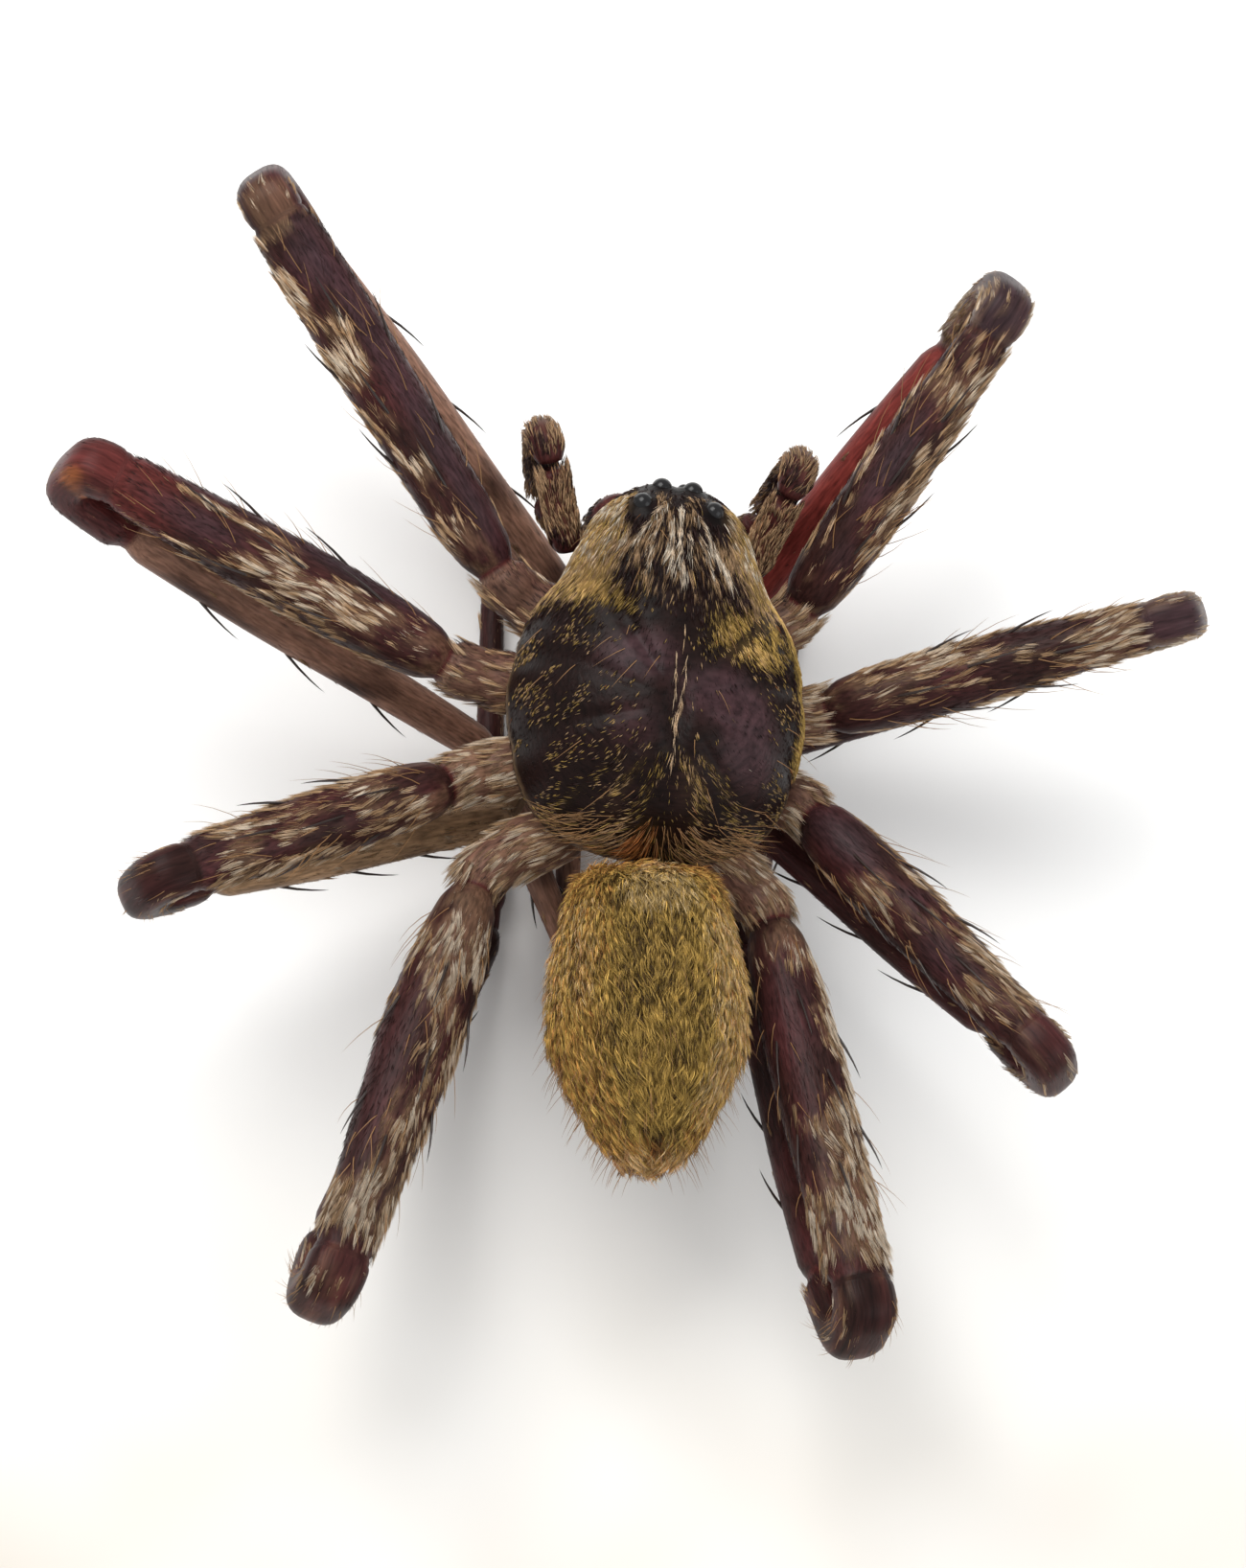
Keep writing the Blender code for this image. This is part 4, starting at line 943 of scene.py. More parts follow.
def abdomen_marks(part, angle, strand):
    """Paleness, gold, rust, grey, how far up the place is and cuticle tints of the abdomen."""
    count = len(part)
    side = np.cos(angle)
    top = smooth(-0.6, 0.1, np.sin(angle))
    broad = patches(strand * 0.5, 1.0, 71)
    clump = patches(strand * np.array((1.5, 3.2, 3.2)), 1.0, 72)
    fine = patches(strand * np.array((2.4, 9.0, 9.0)), 1.0, 73)
    right = smooth(0.40, 0.75, side) * smooth(0.06, 0.20, part) * (1.0 - smooth(0.70, 0.88, part))
    left = smooth(0.55, 0.80, -side) * smooth(0.06, 0.16, part) * (1.0 - smooth(0.35, 0.60, part))
    front = spot(side, part, 0.0, 0.085, 0.45, 0.065)
    band = 1.0 - smooth(0.005, 0.045, part)
    mark = spot(side, part, 0.02, 0.90, 0.26, 0.028)
    grey = spot(side, part, -0.02, 0.30, 0.42, 0.15)
    rear = smooth(0.86, 0.95, part)
    gold = 0.57 + 0.16 * right + 0.06 * left + 0.10 * broad + 0.30 * clump + 0.36 * fine
    gold = gold + 0.20 * front + 0.12 * rear - 0.8 * mark - 0.20 * band - 0.10 * grey
    rust = 0.32 * rear + 0.40 * band + 0.12 + 0.10 * smooth(0.5, 0.9, np.abs(side))
    pale = 0.75 * front + 0.25 * right + 0.12 * left + 0.25 * rear + 0.10
    cuticle = no_tints(count)
    paint(cuticle, maroon=0.3, tan=0.25 * (1.0 - top), gold=np.clip(0.12 * gold, 0.0, 0.12))
    return {"pale": pale, "gold": gold, "rust": rust, "grey": grey, "top": top, "cuticle": cuticle}


def abdomen_hair_tints(marks, rng):
    count = len(marks["gold"])
    tints = no_tints(count)
    golden = marks["gold"] + 0.16 * rng.standard_normal(count) > 0.42
    paint(tints, gold=rng.uniform(0.0, 0.22, count))
    paint(tints, golden, gold=rng.uniform(0.5, 1.0, golden.sum()),
          grey=(marks["grey"] * rng.uniform(0.0, 0.6, count))[golden])
    light = (marks["pale"] * rng.random(count) > 0.14) & golden
    paint(tints, light, cream=rng.uniform(0.05, 0.30, light.sum()))
    rusty = marks["rust"] * rng.random(count) > 0.12
    paint(tints, rusty, rust=rng.uniform(0.20, 0.60, rusty.sum()))
    below = rng.random(count) > marks["top"]
    paint(tints, below, gold=0.0, tan=rng.uniform(0.3, 0.7, below.sum()))
    paint(tints, shade=rng.uniform(0.70, 1.35, count))
    return tints


def plain_marks(name, strength, cover=0.5, pale=0.5, maroon=0.5):
    """Marks for a small part: one cuticle tint, broken a little."""
    def marks(part, angle, strand):
        count = len(part)
        broad = patches(strand * 0.9, 1.0, 81)
        cuticle = no_tints(count)
        paint(cuticle, maroon=maroon)
        cuticle[:, tint(name)] = strength * (1.0 + 0.4 * broad)
        return np.full(count, cover), pale + 0.4 * broad, cuticle
    return marks


def sternum_tube(depth):
    rows = np.array(STERNUM)
    middle = (STERNUM_TOP + STERNUM_BOTTOM) / 2.0
    half_height = (STERNUM_TOP - STERNUM_BOTTOM) / 2.0
    start = on_body(0.0, rows[0, 0], middle)
    end = on_body(0.0, rows[-1, 0], middle)
    parts = (rows[:, 0] - rows[0, 0]) / (rows[-1, 0] - rows[0, 0])
    table = [(part, width, half_height) for part, width in zip(parts, rows[:, 1])]
    return Tube(straight(start, end), BODY_TURN[:, 0], BODY_TURN[:, 2], table, depth)


def pedicel_tube():
    start = on_body(*PEDICEL_START)
    end = np.array(ABDOMEN_START) + np.array(PEDICEL_END)
    table = ((0.0, 0.8, 0.8), (0.5, 1.0, 1.0), (1.0, 0.8, 0.8))
    reach = (end - start) * 0.12
    return Tube(straight(start, end + reach), SIDE, UP, table, 0.03, PEDICEL_GIRTH)


def palp_tubes(name, depth):
    """The mouth plate and the three visible segments of a palp."""
    palp = PALPS[name]
    mirror = -1.0 if name == "L" else 1.0
    start = np.array(palp["start"])
    knee = np.array(palp["knee"])
    tibia_end = np.array(palp["tibia_end"])
    tarsus_end = np.array(palp["tarsus_end"])
    side = unit(np.cross(knee - start, UP))
    tubes = {}
    inner = on_body(0.85 * mirror, 5.35, -2.0)
    outer = on_body(*palp["root"], -1.75)
    table = ((0.0, 0.45, 0.7), (0.2, 0.62, 0.95), (0.6, 0.62, 0.85), (1.0, 0.45, 0.5))
    tubes["maxilla"] = Tube(straight(inner, outer), AHEAD, UP, table, depth)
    table = ((0.0, 0.75, 0.75), (0.08, 1.0, 1.0), (0.5, 1.0, 1.0), (0.94, 1.0, 1.0), (1.0, 0.8, 0.8))
    way = unit(knee - start)
    bend = Bend(knee + way * GAP, way, tibia_end, PALP_KNEE_BEND)
    tubes["femur"] = Tube(straight(start, knee), bend.side, -bend.inward, table, depth, PALP_GIRTH)
    arc_end = bend.at(bend.arc_length())[0]
    whole = bend.arc_length() + np.linalg.norm(tibia_end - arc_end)
    points, going = bend.at(np.linspace(0.0, whole, 60))
    table = ((0.0, 0.8, 0.8), (0.05, 1.0, 1.0), (0.13, 1.04, 0.98), (0.22, 1.04, 0.98), (0.34, 1.0, 1.0),
             (0.66, 1.0, 1.0), (0.96, 0.95, 0.95), (1.0, 0.75, 0.75))
    tubes["tibia"] = Tube(points, bend.side, np.cross(going, bend.side), table, depth, PALP_GIRTH)
    way = unit(tarsus_end - tibia_end)
    tarsus_start = tibia_end + unit(tibia_end - arc_end) * 0.35 + way * (GAP + 0.25)
    table = ((0.0, 0.75, 0.75), (0.12, 0.95, 0.95), (0.5, 0.95, 0.95), (0.85, 0.6, 0.6), (1.0, 0.25, 0.25))
    outer = np.cross(tarsus_end - tarsus_start, side)
    tubes["tarsus"] = Tube(straight(tarsus_start, tarsus_end), side, outer, table, depth, PALP_GIRTH)
    return tubes


def chelicera_tube(mirror, depth):
    top = on_body(CHELICERA_SIDE * mirror, *CHELICERA_TOP)
    end = on_body(CHELICERA_SIDE * mirror, *CHELICERA_END)
    side = BODY_TURN[:, 0]
    bow = unit(np.cross(side, end - top)) * 0.12
    return Tube(straight(top, end, bow=bow), side, BODY_TURN[:, 1], CHELICERA, depth)


def spinneret_tubes():
    """The knob at the abdomen's end and the four spinnerets on it."""
    end = np.array(ABDOMEN_END)
    ahead, up, radius = SPINNERET_ROOT
    middle = end + np.array((0.0, ahead, up))
    reach = np.array((0.0, radius * 0.98, 0.0))
    turns = [math.pi * k / 8 for k in range(9)]
    table = [(0.5 - 0.5 * math.cos(turn), *(max(math.sin(turn), 0.05),) * 2) for turn in turns]
    tubes = [Tube(straight(middle - reach, middle + reach), SIDE, UP, table, 0.0, radius * 0.97)]
    table = ((0.0, 0.8, 0.8), (0.4, 1.0, 1.0), (0.85, 0.8, 0.8), (1.0, 0.45, 0.45))
    for side, ahead, up, length, girth in SPINNERETS:
        for mirror in (-1.0, 1.0):
            start = end + np.array((side * mirror, ahead, up))
            tip = start + np.array((side * mirror * 0.3, -length * 0.88, -length * 0.48))
            tubes.append(Tube(straight(start, tip), SIDE, UP, table, 0.0, girth * 0.95))
    return tubes


# How light a hair is drawn at its root, its middle and its tip: painted shade at the root, deep in the coat,
# and painted light at the tip, where light falls on it.
ROOT_PAINTED_SHADE = 0.40
MIDDLE_PAINTED_SHADE = 0.93
TIP_PAINTED_LIGHT = 1.25


class Coat:
    """Hairs gathered for one mesh: each is a three-sided spike, bent once or straight."""

    # The share of the unwrap that a hair takes, and the triangles of a bent and a straight spike.
    PATCH = 0.003
    BENT = ((0, 1, 4), (0, 4, 3), (1, 2, 5), (1, 5, 4), (2, 0, 3), (2, 3, 5), (3, 4, 6), (4, 5, 6), (5, 3, 6))
    STRAIGHT = ((0, 1, 3), (1, 2, 3), (2, 0, 3))

    def __init__(self):
        self.points = []
        self.faces = []
        self.tints = []
        self.spots = []
        self.count = 0

    def add(self, roots, normals, flows, lengths, widths, lifts, tints, places,
            bent=True, leaders=None, gather=0.6):
        """Hairs that leave the skin along their lie and rise by their lift.

        Where leaders are given, the tips of a tuft's hairs are gathered to the tip of their leader."""
        lengths = lengths[:, None]
        lifts = lifts[:, None]
        middles = roots + flows * lengths * 0.48 + normals * lengths * lifts * 0.42
        tips = roots + flows * lengths * 0.97 + normals * lengths * lifts * 0.52
        if leaders is not None:
            tips = tips + (tips[leaders] - tips) * gather
            middles = middles + (middles[leaders] - middles) * gather * 0.5
        roots = roots - normals * 0.03
        sides = unit(np.cross(normals, flows))
        away = unit(np.cross(tips - roots, sides))
        widths = widths[:, None] / 2.0
        turns = [math.radians(angle) for angle in (90.0, 210.0, 330.0)]
        corners = [(sides * math.cos(turn) + away * math.sin(turn)) * widths for turn in turns]
        rows = [roots + corner for corner in corners]
        painted_shading = [ROOT_PAINTED_SHADE] * 3
        patch = [(-1, -1), (0, -1), (1, -1)]
        triangles = self.STRAIGHT
        if bent:
            rows += [middles + corner * 0.85 for corner in corners]
            painted_shading += [MIDDLE_PAINTED_SHADE] * 3
            patch += [(-1, 0), (0, 0), (1, 0)]
            triangles = self.BENT
        rows.append(tips)
        painted_shading.append(TIP_PAINTED_LIGHT)
        patch.append((0, 1))
        size = len(rows)
        first = self.count + np.arange(len(roots)) * size
        faces = np.array(triangles)[None] + first[:, None, None]
        spread = np.repeat(tints[:, None], size, axis=1)
        # Painted shade and light along each hair: a dark root where the hairs shade each other, a light tip
        # where light falls.
        spread[:, :, LAST] *= np.array(painted_shading)
        half = self.PATCH / 2.0
        cells = np.floor(np.clip(places, 0.0, 0.999) / self.PATCH) * self.PATCH + half
        self.points.append(np.stack(rows, axis=1).reshape(-1, 3))
        self.faces.append(faces.reshape(-1))
        self.tints.append(spread.reshape(-1, len(TINTS)))
        self.spots.append(np.clip(cells[:, None] + np.array(patch) * half, 0.0, 1.0).reshape(-1, 2))
        self.count += len(roots) * size

    def make(self, name):
        points = scene_points(np.concatenate(self.points), PIECE_CLEARANCE)
        faces = np.concatenate(self.faces)
        mesh = bpy.data.meshes.new(name)
        mesh.vertices.add(len(points))
        mesh.vertices.foreach_set("co", points.astype(np.float32).ravel())
        mesh.loops.add(len(faces))
        mesh.loops.foreach_set("vertex_index", faces.astype(np.int32))
        mesh.polygons.add(len(faces) // 3)
        mesh.polygons.foreach_set("loop_start", np.arange(0, len(faces), 3, dtype=np.int32))
        mesh.update(calc_edges=True)
        write_tints(mesh, np.concatenate(self.tints))
        layer = mesh.uv_layers.new(name="OFBake")
        layer.uv.foreach_set("vector", np.concatenate(self.spots)[faces].astype(np.float32).ravel())
        return link_mesh(name, mesh)


def scatter(tube, count, rng, span=(0.0, 1.0)):
    """Even random places on a tube's side."""
    widest = tube.half_sizes(np.linspace(0.0, 1.0, 60)).max()
    part = rng.uniform(span[0], span[1], count * 2)
    girth = tube.half_sizes(part).mean(axis=-1) / widest
    part = part[rng.random(count * 2) < girth][:count]
    return part, rng.uniform(-math.pi / 2.0, 1.5 * math.pi, len(part))


def lie_on(tube, part, angle, outward, rng, wander=0.16):
    """Roots, normals and the lie of hairs that point along a tube and lean outward by a share."""
    roots, normals, along = tube.place(part, angle)
    across = unit(np.cross(normals, along))
    curl = patches(roots, 1.1, 91) * 0.5 + wander * rng.standard_normal(len(part))
    flows = along + across * (outward + curl)[:, None]
    return roots, normals, flattened(flows, normals)


SLIM = ("tibia", "metatarsus", "tarsus")
LEG_RUN = (("coxa", 0.00, 0.13), ("femur", 0.14, 0.50), ("patella", 0.51, 0.62), ("tibia", 0.63, 0.82),
           ("metatarsus", 0.83, 0.93), ("tarsus", 0.94, 1.00))


def cluster(tube, part, angle, members, spread, rng):
    """Places of the hairs of tufts, and the number of the hair that leads each hair's tuft."""
    girth = tube.half_sizes(part).mean(axis=-1)[:, None]
    along = rng.standard_normal((len(part), members)) * spread[0] / tube.length
    across = rng.standard_normal((len(part), members)) * spread[1] / girth
    along[:, 0] = 0.0
    across[:, 0] = 0.0
    leaders = np.repeat(np.arange(len(part)) * members, members)
    return np.clip(part[:, None] + along, 0.004, 0.99).ravel(), (angle[:, None] + across).ravel(), leaders


def leg_places(low, high, part, angle):
    """Where hairs lie on the unwrap of a leg's skin."""
    return np.stack((low + (high - low) * part, (angle / (2.0 * math.pi)) % 1.0), axis=-1)


# Leg coats: tufts and short hairs tried on each square millimetre, and hairs in a tuft.
TUFTS = 12.0
SHORT_HAIRS = 80.0
TUFT_HAIRS = 10


def grow_leg(limb, sizes, rng):
    """The coat of one leg: pale tufts of straight hairs over short straight hairs."""
    coat = Coat()
    width = sizes.hair_width / MM
    for segment, low, high in LEG_RUN:
        tube = limb.tubes[segment]
        area = tube.length * tube.half_sizes(np.array((0.4,))).mean() * 2.0 * math.pi
        shaggy = segment == "patella" and LEG_LOOKS[limb.name].knee == "mottled"
        reach = sizes.leg_hair_length / MM * (0.6 if tube.bend or segment in SLIM else 1.0)
        part, angle = scatter(tube, int(area * TUFTS), rng, (0.01, 0.97))
        cover, pale = leg_marks(limb.name, segment, part, angle, tube_strand(tube, part, angle))[:2]
        thick = np.clip(0.30 + 2.0 * (pale - TUFT_EDGE), 0.0, 1.0)
        kept = pale + 0.05 * rng.standard_normal(len(part)) > TUFT_EDGE
        kept &= rng.random(len(part)) < cover * thick
        bright = 0.15 + 2.2 * (pale[kept] - TUFT_EDGE) + 0.22 * rng.standard_normal(kept.sum())
        bright = np.clip(bright, 0.0, 1.0)
        size = np.repeat(rng.uniform(0.65, 1.2, kept.sum()), TUFT_HAIRS)
        part, angle, leaders = cluster(tube, part[kept], angle[kept], TUFT_HAIRS, (0.12, 0.045), rng)
        roots, normals, flows = lie_on(tube, part, angle, 0.0, rng, 0.09)
        lengths = reach * size * rng.uniform(0.60, 1.1, len(part))
        lifts = rng.uniform(0.14, 0.40, len(part)) + (0.35 if shaggy else 0.0)
        coat.add(roots, normals, flows, lengths, width * rng.uniform(0.8, 1.3, len(part)), lifts,
                 tuft_tints(np.repeat(bright, TUFT_HAIRS), rng), leg_places(low, high, part, angle),
                 bent=False, leaders=leaders, gather=0.45)
        part, angle = scatter(tube, int(area * SHORT_HAIRS), rng, (0.01, 0.985))
        cover, pale = leg_marks(limb.name, segment, part, angle, tube_strand(tube, part, angle))[:2]
        tints, light = leg_hair_tints(pale, rng)
        share = np.where(light, np.clip(3.4 * (pale - 0.38), 0.12, 0.90), 0.30)
        kept = rng.random(len(part)) < cover * share
        part = part[kept]
        angle = angle[kept]
        roots, normals, flows = lie_on(tube, part, angle, 0.0, rng)
        lengths = reach * rng.uniform(0.35, 0.7, len(part))
        widths = width * rng.uniform(0.6, 1.0, len(part))
        coat.add(roots, normals, flows, lengths, widths, rng.uniform(0.08, 0.30, len(part)), tints[kept],
                 leg_places(low, high, part, angle), bent=False)
    return coat


# Layers of the carapace's coat: kind, places tried, hairs at each place.
CARAPACE_LAYERS = (("long", 14000, 3), ("comma", 10500, 2), ("short", 50000, 1))


def grow_carapace(dome, sizes, rng):
    """The carapace's coat: gathered long hair where it is thick, small comma tufts, and a few short hairs."""
    coat = Coat()
    width = sizes.hair_width / MM
    for kind, wanted, members in CARAPACE_LAYERS:
        along = rng.random(wanted)
        across = rng.random(wanted)
        ahead = Dome.REAR + (Dome.FRONT - Dome.REAR) * along
        girth = read_table(dome.table, ahead)[:, :2].sum(axis=-1) / CARAPACE_GIRTH
        kept = rng.random(wanted) < girth
        along = along[kept]
        across = across[kept]
        here = dome.place(along, across)[3]
        marks = carapace_marks(here)
        cover = marks["cover"]
        chances = {"long": cover, "comma": marks["commas"] * (1.0 - 0.8 * cover),
                   "short": 0.10 + 0.75 * cover}
        kept = rng.random(len(here)) < chances[kind]
        for *eye, radius in EYES:
            distance = np.linalg.norm(np.abs(here * SIDE) + here * (AHEAD + UP) - eye, axis=-1)
            kept &= distance > radius * 1.35
        shown = ("pale", "gold", "rust", "cream")
        pale, gold, rust, cream = [np.repeat(marks[name][kept], members) for name in shown]
        count = int(kept.sum())
        along = np.repeat(along[kept], members).reshape(count, members)
        across = np.repeat(across[kept], members).reshape(count, members)
        along[:, 1:] += 0.0055 * rng.standard_normal((count, members - 1))
        across[:, 1:] += 0.0045 * rng.standard_normal((count, members - 1))
        along = np.clip(along.ravel(), 0.001, 0.999)
        across = np.clip(across.ravel(), 0.001, 0.999)
        roots, normals, flows, here = dome.place(along, across)
        many = len(roots)
        sway = patches(roots, 0.9, 92) * 0.45 + 0.10 * rng.standard_normal(many)
        flows = unit(flows + np.cross(normals, flows) * sway[:, None])
        if kind == "comma":
            pale = np.full(many, 0.38)
            gold = np.full(many, 0.34)
            lengths = rng.uniform(0.16, 0.30, many)
        else:
            head = smooth(2.0, 4.0, here[:, 1])
            face = smooth(6.4, 7.4, here[:, 1])
            behind = smooth(-4.7, -5.3, here[:, 1])
            reach = sizes.body_hair_length / MM * (0.6 if kind == "short" else 1.0)
            lengths = reach * rng.uniform(0.7, 1.15, many) * (0.72 + 0.55 * head - 0.75 * face + 0.9 * behind)
        tints = carapace_hair_tints(pale, gold, rust, cream, rng)
        lifts = rng.uniform(0.10, 0.34, many) + 0.4 * rust
        coat.add(roots, normals, flows, lengths, width * rng.uniform(0.75, 1.15, many), lifts, tints,
                 np.stack((along, across), axis=-1), bent=kind != "short",
                 leaders=None if kind == "short" else np.repeat(np.arange(count) * members, members))
    grow_lines(coat, dome, width, rng)
    return coat


def grow_lines(coat, dome, width, rng):
    """Fine cream hairs, end to end, along the lines of the head and the furrow."""
    for start, end, breadth, strength in CREAM_LINES:
        start = np.array(start)
        way = np.array(end) - start
        count = int(np.hypot(*way) * (25.0 + 350.0 * breadth) * strength)
        share = rng.random(count)
        place = start + way * share[:, None] + breadth * 0.6 * rng.standard_normal((count, 2))
        along = (place[:, 1] - Dome.REAR) / (Dome.FRONT - Dome.REAR)
        half_width, square = read_table(dome.table, place[:, 1])[:, ::2].T
        lean = np.sign(place[:, 0]) * np.abs(place[:, 0] / half_width) ** (square / 2.0)
        across = np.arccos(np.clip(lean, -0.99, 0.99)) / math.pi
        roots, normals = dome.place(along, across)[:2]
        line = unit(np.array((way[0], way[1], 0.0))) @ BODY_TURN.T
        flows = flattened(line + 0.10 * rng.standard_normal((count, 3)), normals)
        tints = no_tints(count)
        paint(tints, tan=0.85, cream=rng.uniform(0.2, 1.0, count) * strength,
              shade=rng.uniform(0.7, 1.15, count))
        coat.add(roots, normals, flows, rng.uniform(0.35, 0.75, count), width * rng.uniform(0.6, 1.0, count),
                 rng.uniform(0.10, 0.35, count), tints, np.stack((along, across), axis=-1))


def sloped_normals(tube, part, angle, radial):
    """Outward normals that follow a tube's taper too, as at its blunt ends."""
    low, high = [tube.place(np.clip(part + step, 0.0, 1.0), angle)[0] for step in (-0.003, 0.003)]
    return flattened(radial, unit(high - low))


def abdomen_half(name, angle):
    """Which angles round the abdomen belong to one piece of its coat."""
    above = np.sin(angle) > ABDOMEN_EDGE
    if name == "under":
        return ~above
    return above & ((np.cos(angle) < 0.0) == (name == "left"))


def grow_abdomen(tube, name, count, sizes, rng):
    """A part of the abdomen's coat: tufts of bent hairs over smaller ones, with more at the front edge."""
    coat = Coat()
    width = sizes.hair_width / MM * 0.85
    layers = ((5, count // 2, 1.05, 0.8), (3, count * 3 // 2, 0.7, 0.4))
    for members, wanted, reach, gather in layers:
        part, angle = scatter(tube, wanted, rng, (0.0, 0.996))
        part = np.concatenate((part, 0.05 * rng.random(wanted // 14) ** 1.5))
        angle = np.concatenate((angle, rng.uniform(-0.5, math.pi + 0.5, wanted // 14)))
        chosen = abdomen_half(name, angle)
        part, angle, leaders = cluster(tube, part[chosen], angle[chosen], members, (0.07, 0.045), rng)
        many = len(part)
        tints = abdomen_hair_tints(abdomen_marks(part, angle, tube_strand(tube, part, angle)), rng)
        tints[:, LAST] *= rng.uniform(0.60, 1.30, many)[leaders]
        side = np.cos(angle)
        roots, radial, along = tube.place(part, angle)
        normals = sloped_normals(tube, part, angle, radial)
        sway = 0.30 * side + 0.50 * patches(roots, 0.9, 93) + 0.28 * rng.standard_normal(many)
        flows = along + np.cross(along, BODY_TURN[:, 2]) * sway[:, None] + BODY_TURN[:, 2] * 0.4
        lengths = sizes.abdomen_hair_length / MM * rng.uniform(0.6, 1.25, many) * reach
        edge = np.clip(smooth(0.60, 0.90, np.abs(side)) + smooth(0.85, 0.95, part), 0.0, 1.0)
        lifts = rng.uniform(0.35, 0.80, many) + 0.20 * edge * rng.random(many)
        lifts = lifts + 0.2 * (1.0 - smooth(0.0, 0.04, part))
        places = np.stack((part, (angle / math.pi) % 1.0), axis=-1)
        widths = width * rng.uniform(0.65, 1.0, many)
        coat.add(roots, normals, flattened(flows, normals), lengths, widths, lifts, tints, places,
                 bent=members == 5, leaders=leaders, gather=gather)
    return coat


def grow_small(coat, parts, width, rng):
    """Tufts of hair on small parts: tube, count, length, cover, paleness, and its band of the unwrap."""
    for tube, count, length, cover, pale, low, high in parts:
        part, angle = scatter(tube, count, rng, (0.02, 0.97))
        marks = plain_marks("tan", 0.0, cover=cover, pale=pale)
        cover, pale = marks(part, angle, tube_strand(tube, part, angle))[:2]
        kept = rng.random(len(part)) < cover
        part, angle, leaders = cluster(tube, part[kept], angle[kept], 3, (0.08, 0.05), rng)
        tints = leg_hair_tints(np.repeat(pale[kept], 3), rng)[0]
        roots, normals, flows = lie_on(tube, part, angle, 0.0, rng)
        many = len(part)
        lengths = length * rng.uniform(0.6, 1.2, many)
        widths = width * rng.uniform(0.8, 1.2, many)
        coat.add(roots, normals, flows, lengths, widths, rng.uniform(0.12, 0.4, many), tints,
                 leg_places(low, high, part, angle), leaders=leaders)


# Where the rings of a spike are along its length, and how thick it is there.
SPIKE_RINGS = ((-0.10, 1.0), (0.0, 1.0), (0.30, 0.82), (0.62, 0.55), (0.85, 0.3))


def spike_mesh(spikes, sides):
    """One mesh of tapered spikes; each is a root, a direction, a length, a root radius and a bend."""
    points = []
    faces = []
    for root, way, length, radius, bend in spikes:
        side = unit(np.cross(way, (0.31, 0.47, 0.83)))
        up = np.cross(way, side)
        first = len(points)
        for reach, girth in SPIKE_RINGS:
            centre = root + way * length * reach + bend * max(reach, 0.0) ** 2
            for k in range(sides):
                turn = 2.0 * math.pi * k / sides
                points.append(centre + (side * math.cos(turn) + up * math.sin(turn)) * radius * girth)
        faces.extend(ring_faces(len(SPIKE_RINGS), sides, first))
        last = len(points) - sides
        faces.extend([last + k, last + (k + 1) % sides, len(points)] for k in range(sides))
        points.append(root + way * length + bend)
    return points, faces


def add_bristles(bristles, count, place, spread, rng):
    """Long single hairs at places with their normals and lie, and with the spread of one kind of bristle."""
    roots, normals, flows = place
    off, sideways, lengths, radius, sunk, follow, droop = spread
    for k in range(count):
        way = flows[k] + normals[k] * rng.uniform(*off)
        if sideways:
            way = way + np.cross(normals[k], flows[k]) * rng.uniform(-sideways, sideways)
        bristles.append((roots[k] - normals[k] * sunk, unit(way), rng.uniform(*lengths), radius,
                         flows[k] * follow - normals[k] * rng.uniform(*droop)))


def spine_roots(start, end, outer, table, spots):
    """Roots and directions of spines on a straight segment, angles counted from its outer side."""
    along = end - start
    side = unit(np.cross(along, outer))
    up = unit(np.cross(side, along))
    lean = math.radians(SPINE_LEAN)
    found = []
    for part, angle, length in spots:
        turn = math.radians(angle)
        width, height = read_table(table, np.array([part]))[0]
        root = start + along * part + up * (height * math.cos(turn)) + side * (width * math.sin(turn))
        away = up * math.cos(turn) + side * math.sin(turn)
        way = unit(along) * math.cos(lean) + away * math.sin(lean)
        found.append((root - away * SPINE_ROOTED, way, length, away))
    return found


def leg_spines(limb):
    femur = limb.tubes["femur"].centres
    tibia = limb.tubes["tibia"].centres
    foot = limb.tubes["metatarsus"].centres
    found = spine_roots(femur[0], femur[-1], -limb.bend.inward, femur_table(LEGS[limb.name]), FEMUR_SPINES)
    outer = np.cross(limb.bend.side, tibia[-1] - tibia[0])
    found += spine_roots(tibia[0], tibia[-1], outer, TIBIA, TIBIA_SPINES)
    found += spine_roots(foot[0], foot[-1], UP, METATARSUS, FOOT_SPINES)
    return found


def add_node(nodes, kind, **values):
    """A node of a kind, with constants for the inputs that are named."""
    node = nodes.new(kind)
    for name, value in values.items():
        node.inputs[name.replace("_", " ")].default_value = value
    return node


def fresh_material(name, **values):
    """A material with one shader, its constants set by their names."""
    material = bpy.data.materials.new(name)
    material.use_nodes = True
    nodes = material.node_tree.nodes
    nodes.clear()
    output = nodes.new("ShaderNodeOutputMaterial")
    shader = add_node(nodes, "ShaderNodeBsdfPrincipled", **values)
    material.node_tree.links.new(shader.outputs["BSDF"], output.inputs["Surface"])
    return material, nodes, material.node_tree.links, shader


def mix(nodes, links, factor, below, above, blend="MIX"):
    """One colour laid over another; each value is a number, a colour or another node's output."""
    node = nodes.new("ShaderNodeMix")
    node.data_type = "RGBA"
    node.blend_type = blend
    for socket, value in ((node.inputs[0], factor), (node.inputs[6], below), (node.inputs[7], above)):
        if isinstance(value, bpy.types.NodeSocket):
            links.new(value, socket)
        else:
            socket.default_value = value if isinstance(value, float) else (*value[:3], 1.0)
    return node.outputs[2]


def mesh_values(nodes, name):
    """The node that reads one of the mesh's own attributes."""
    node = nodes.new("ShaderNodeAttribute")
    node.attribute_name = name
    return node


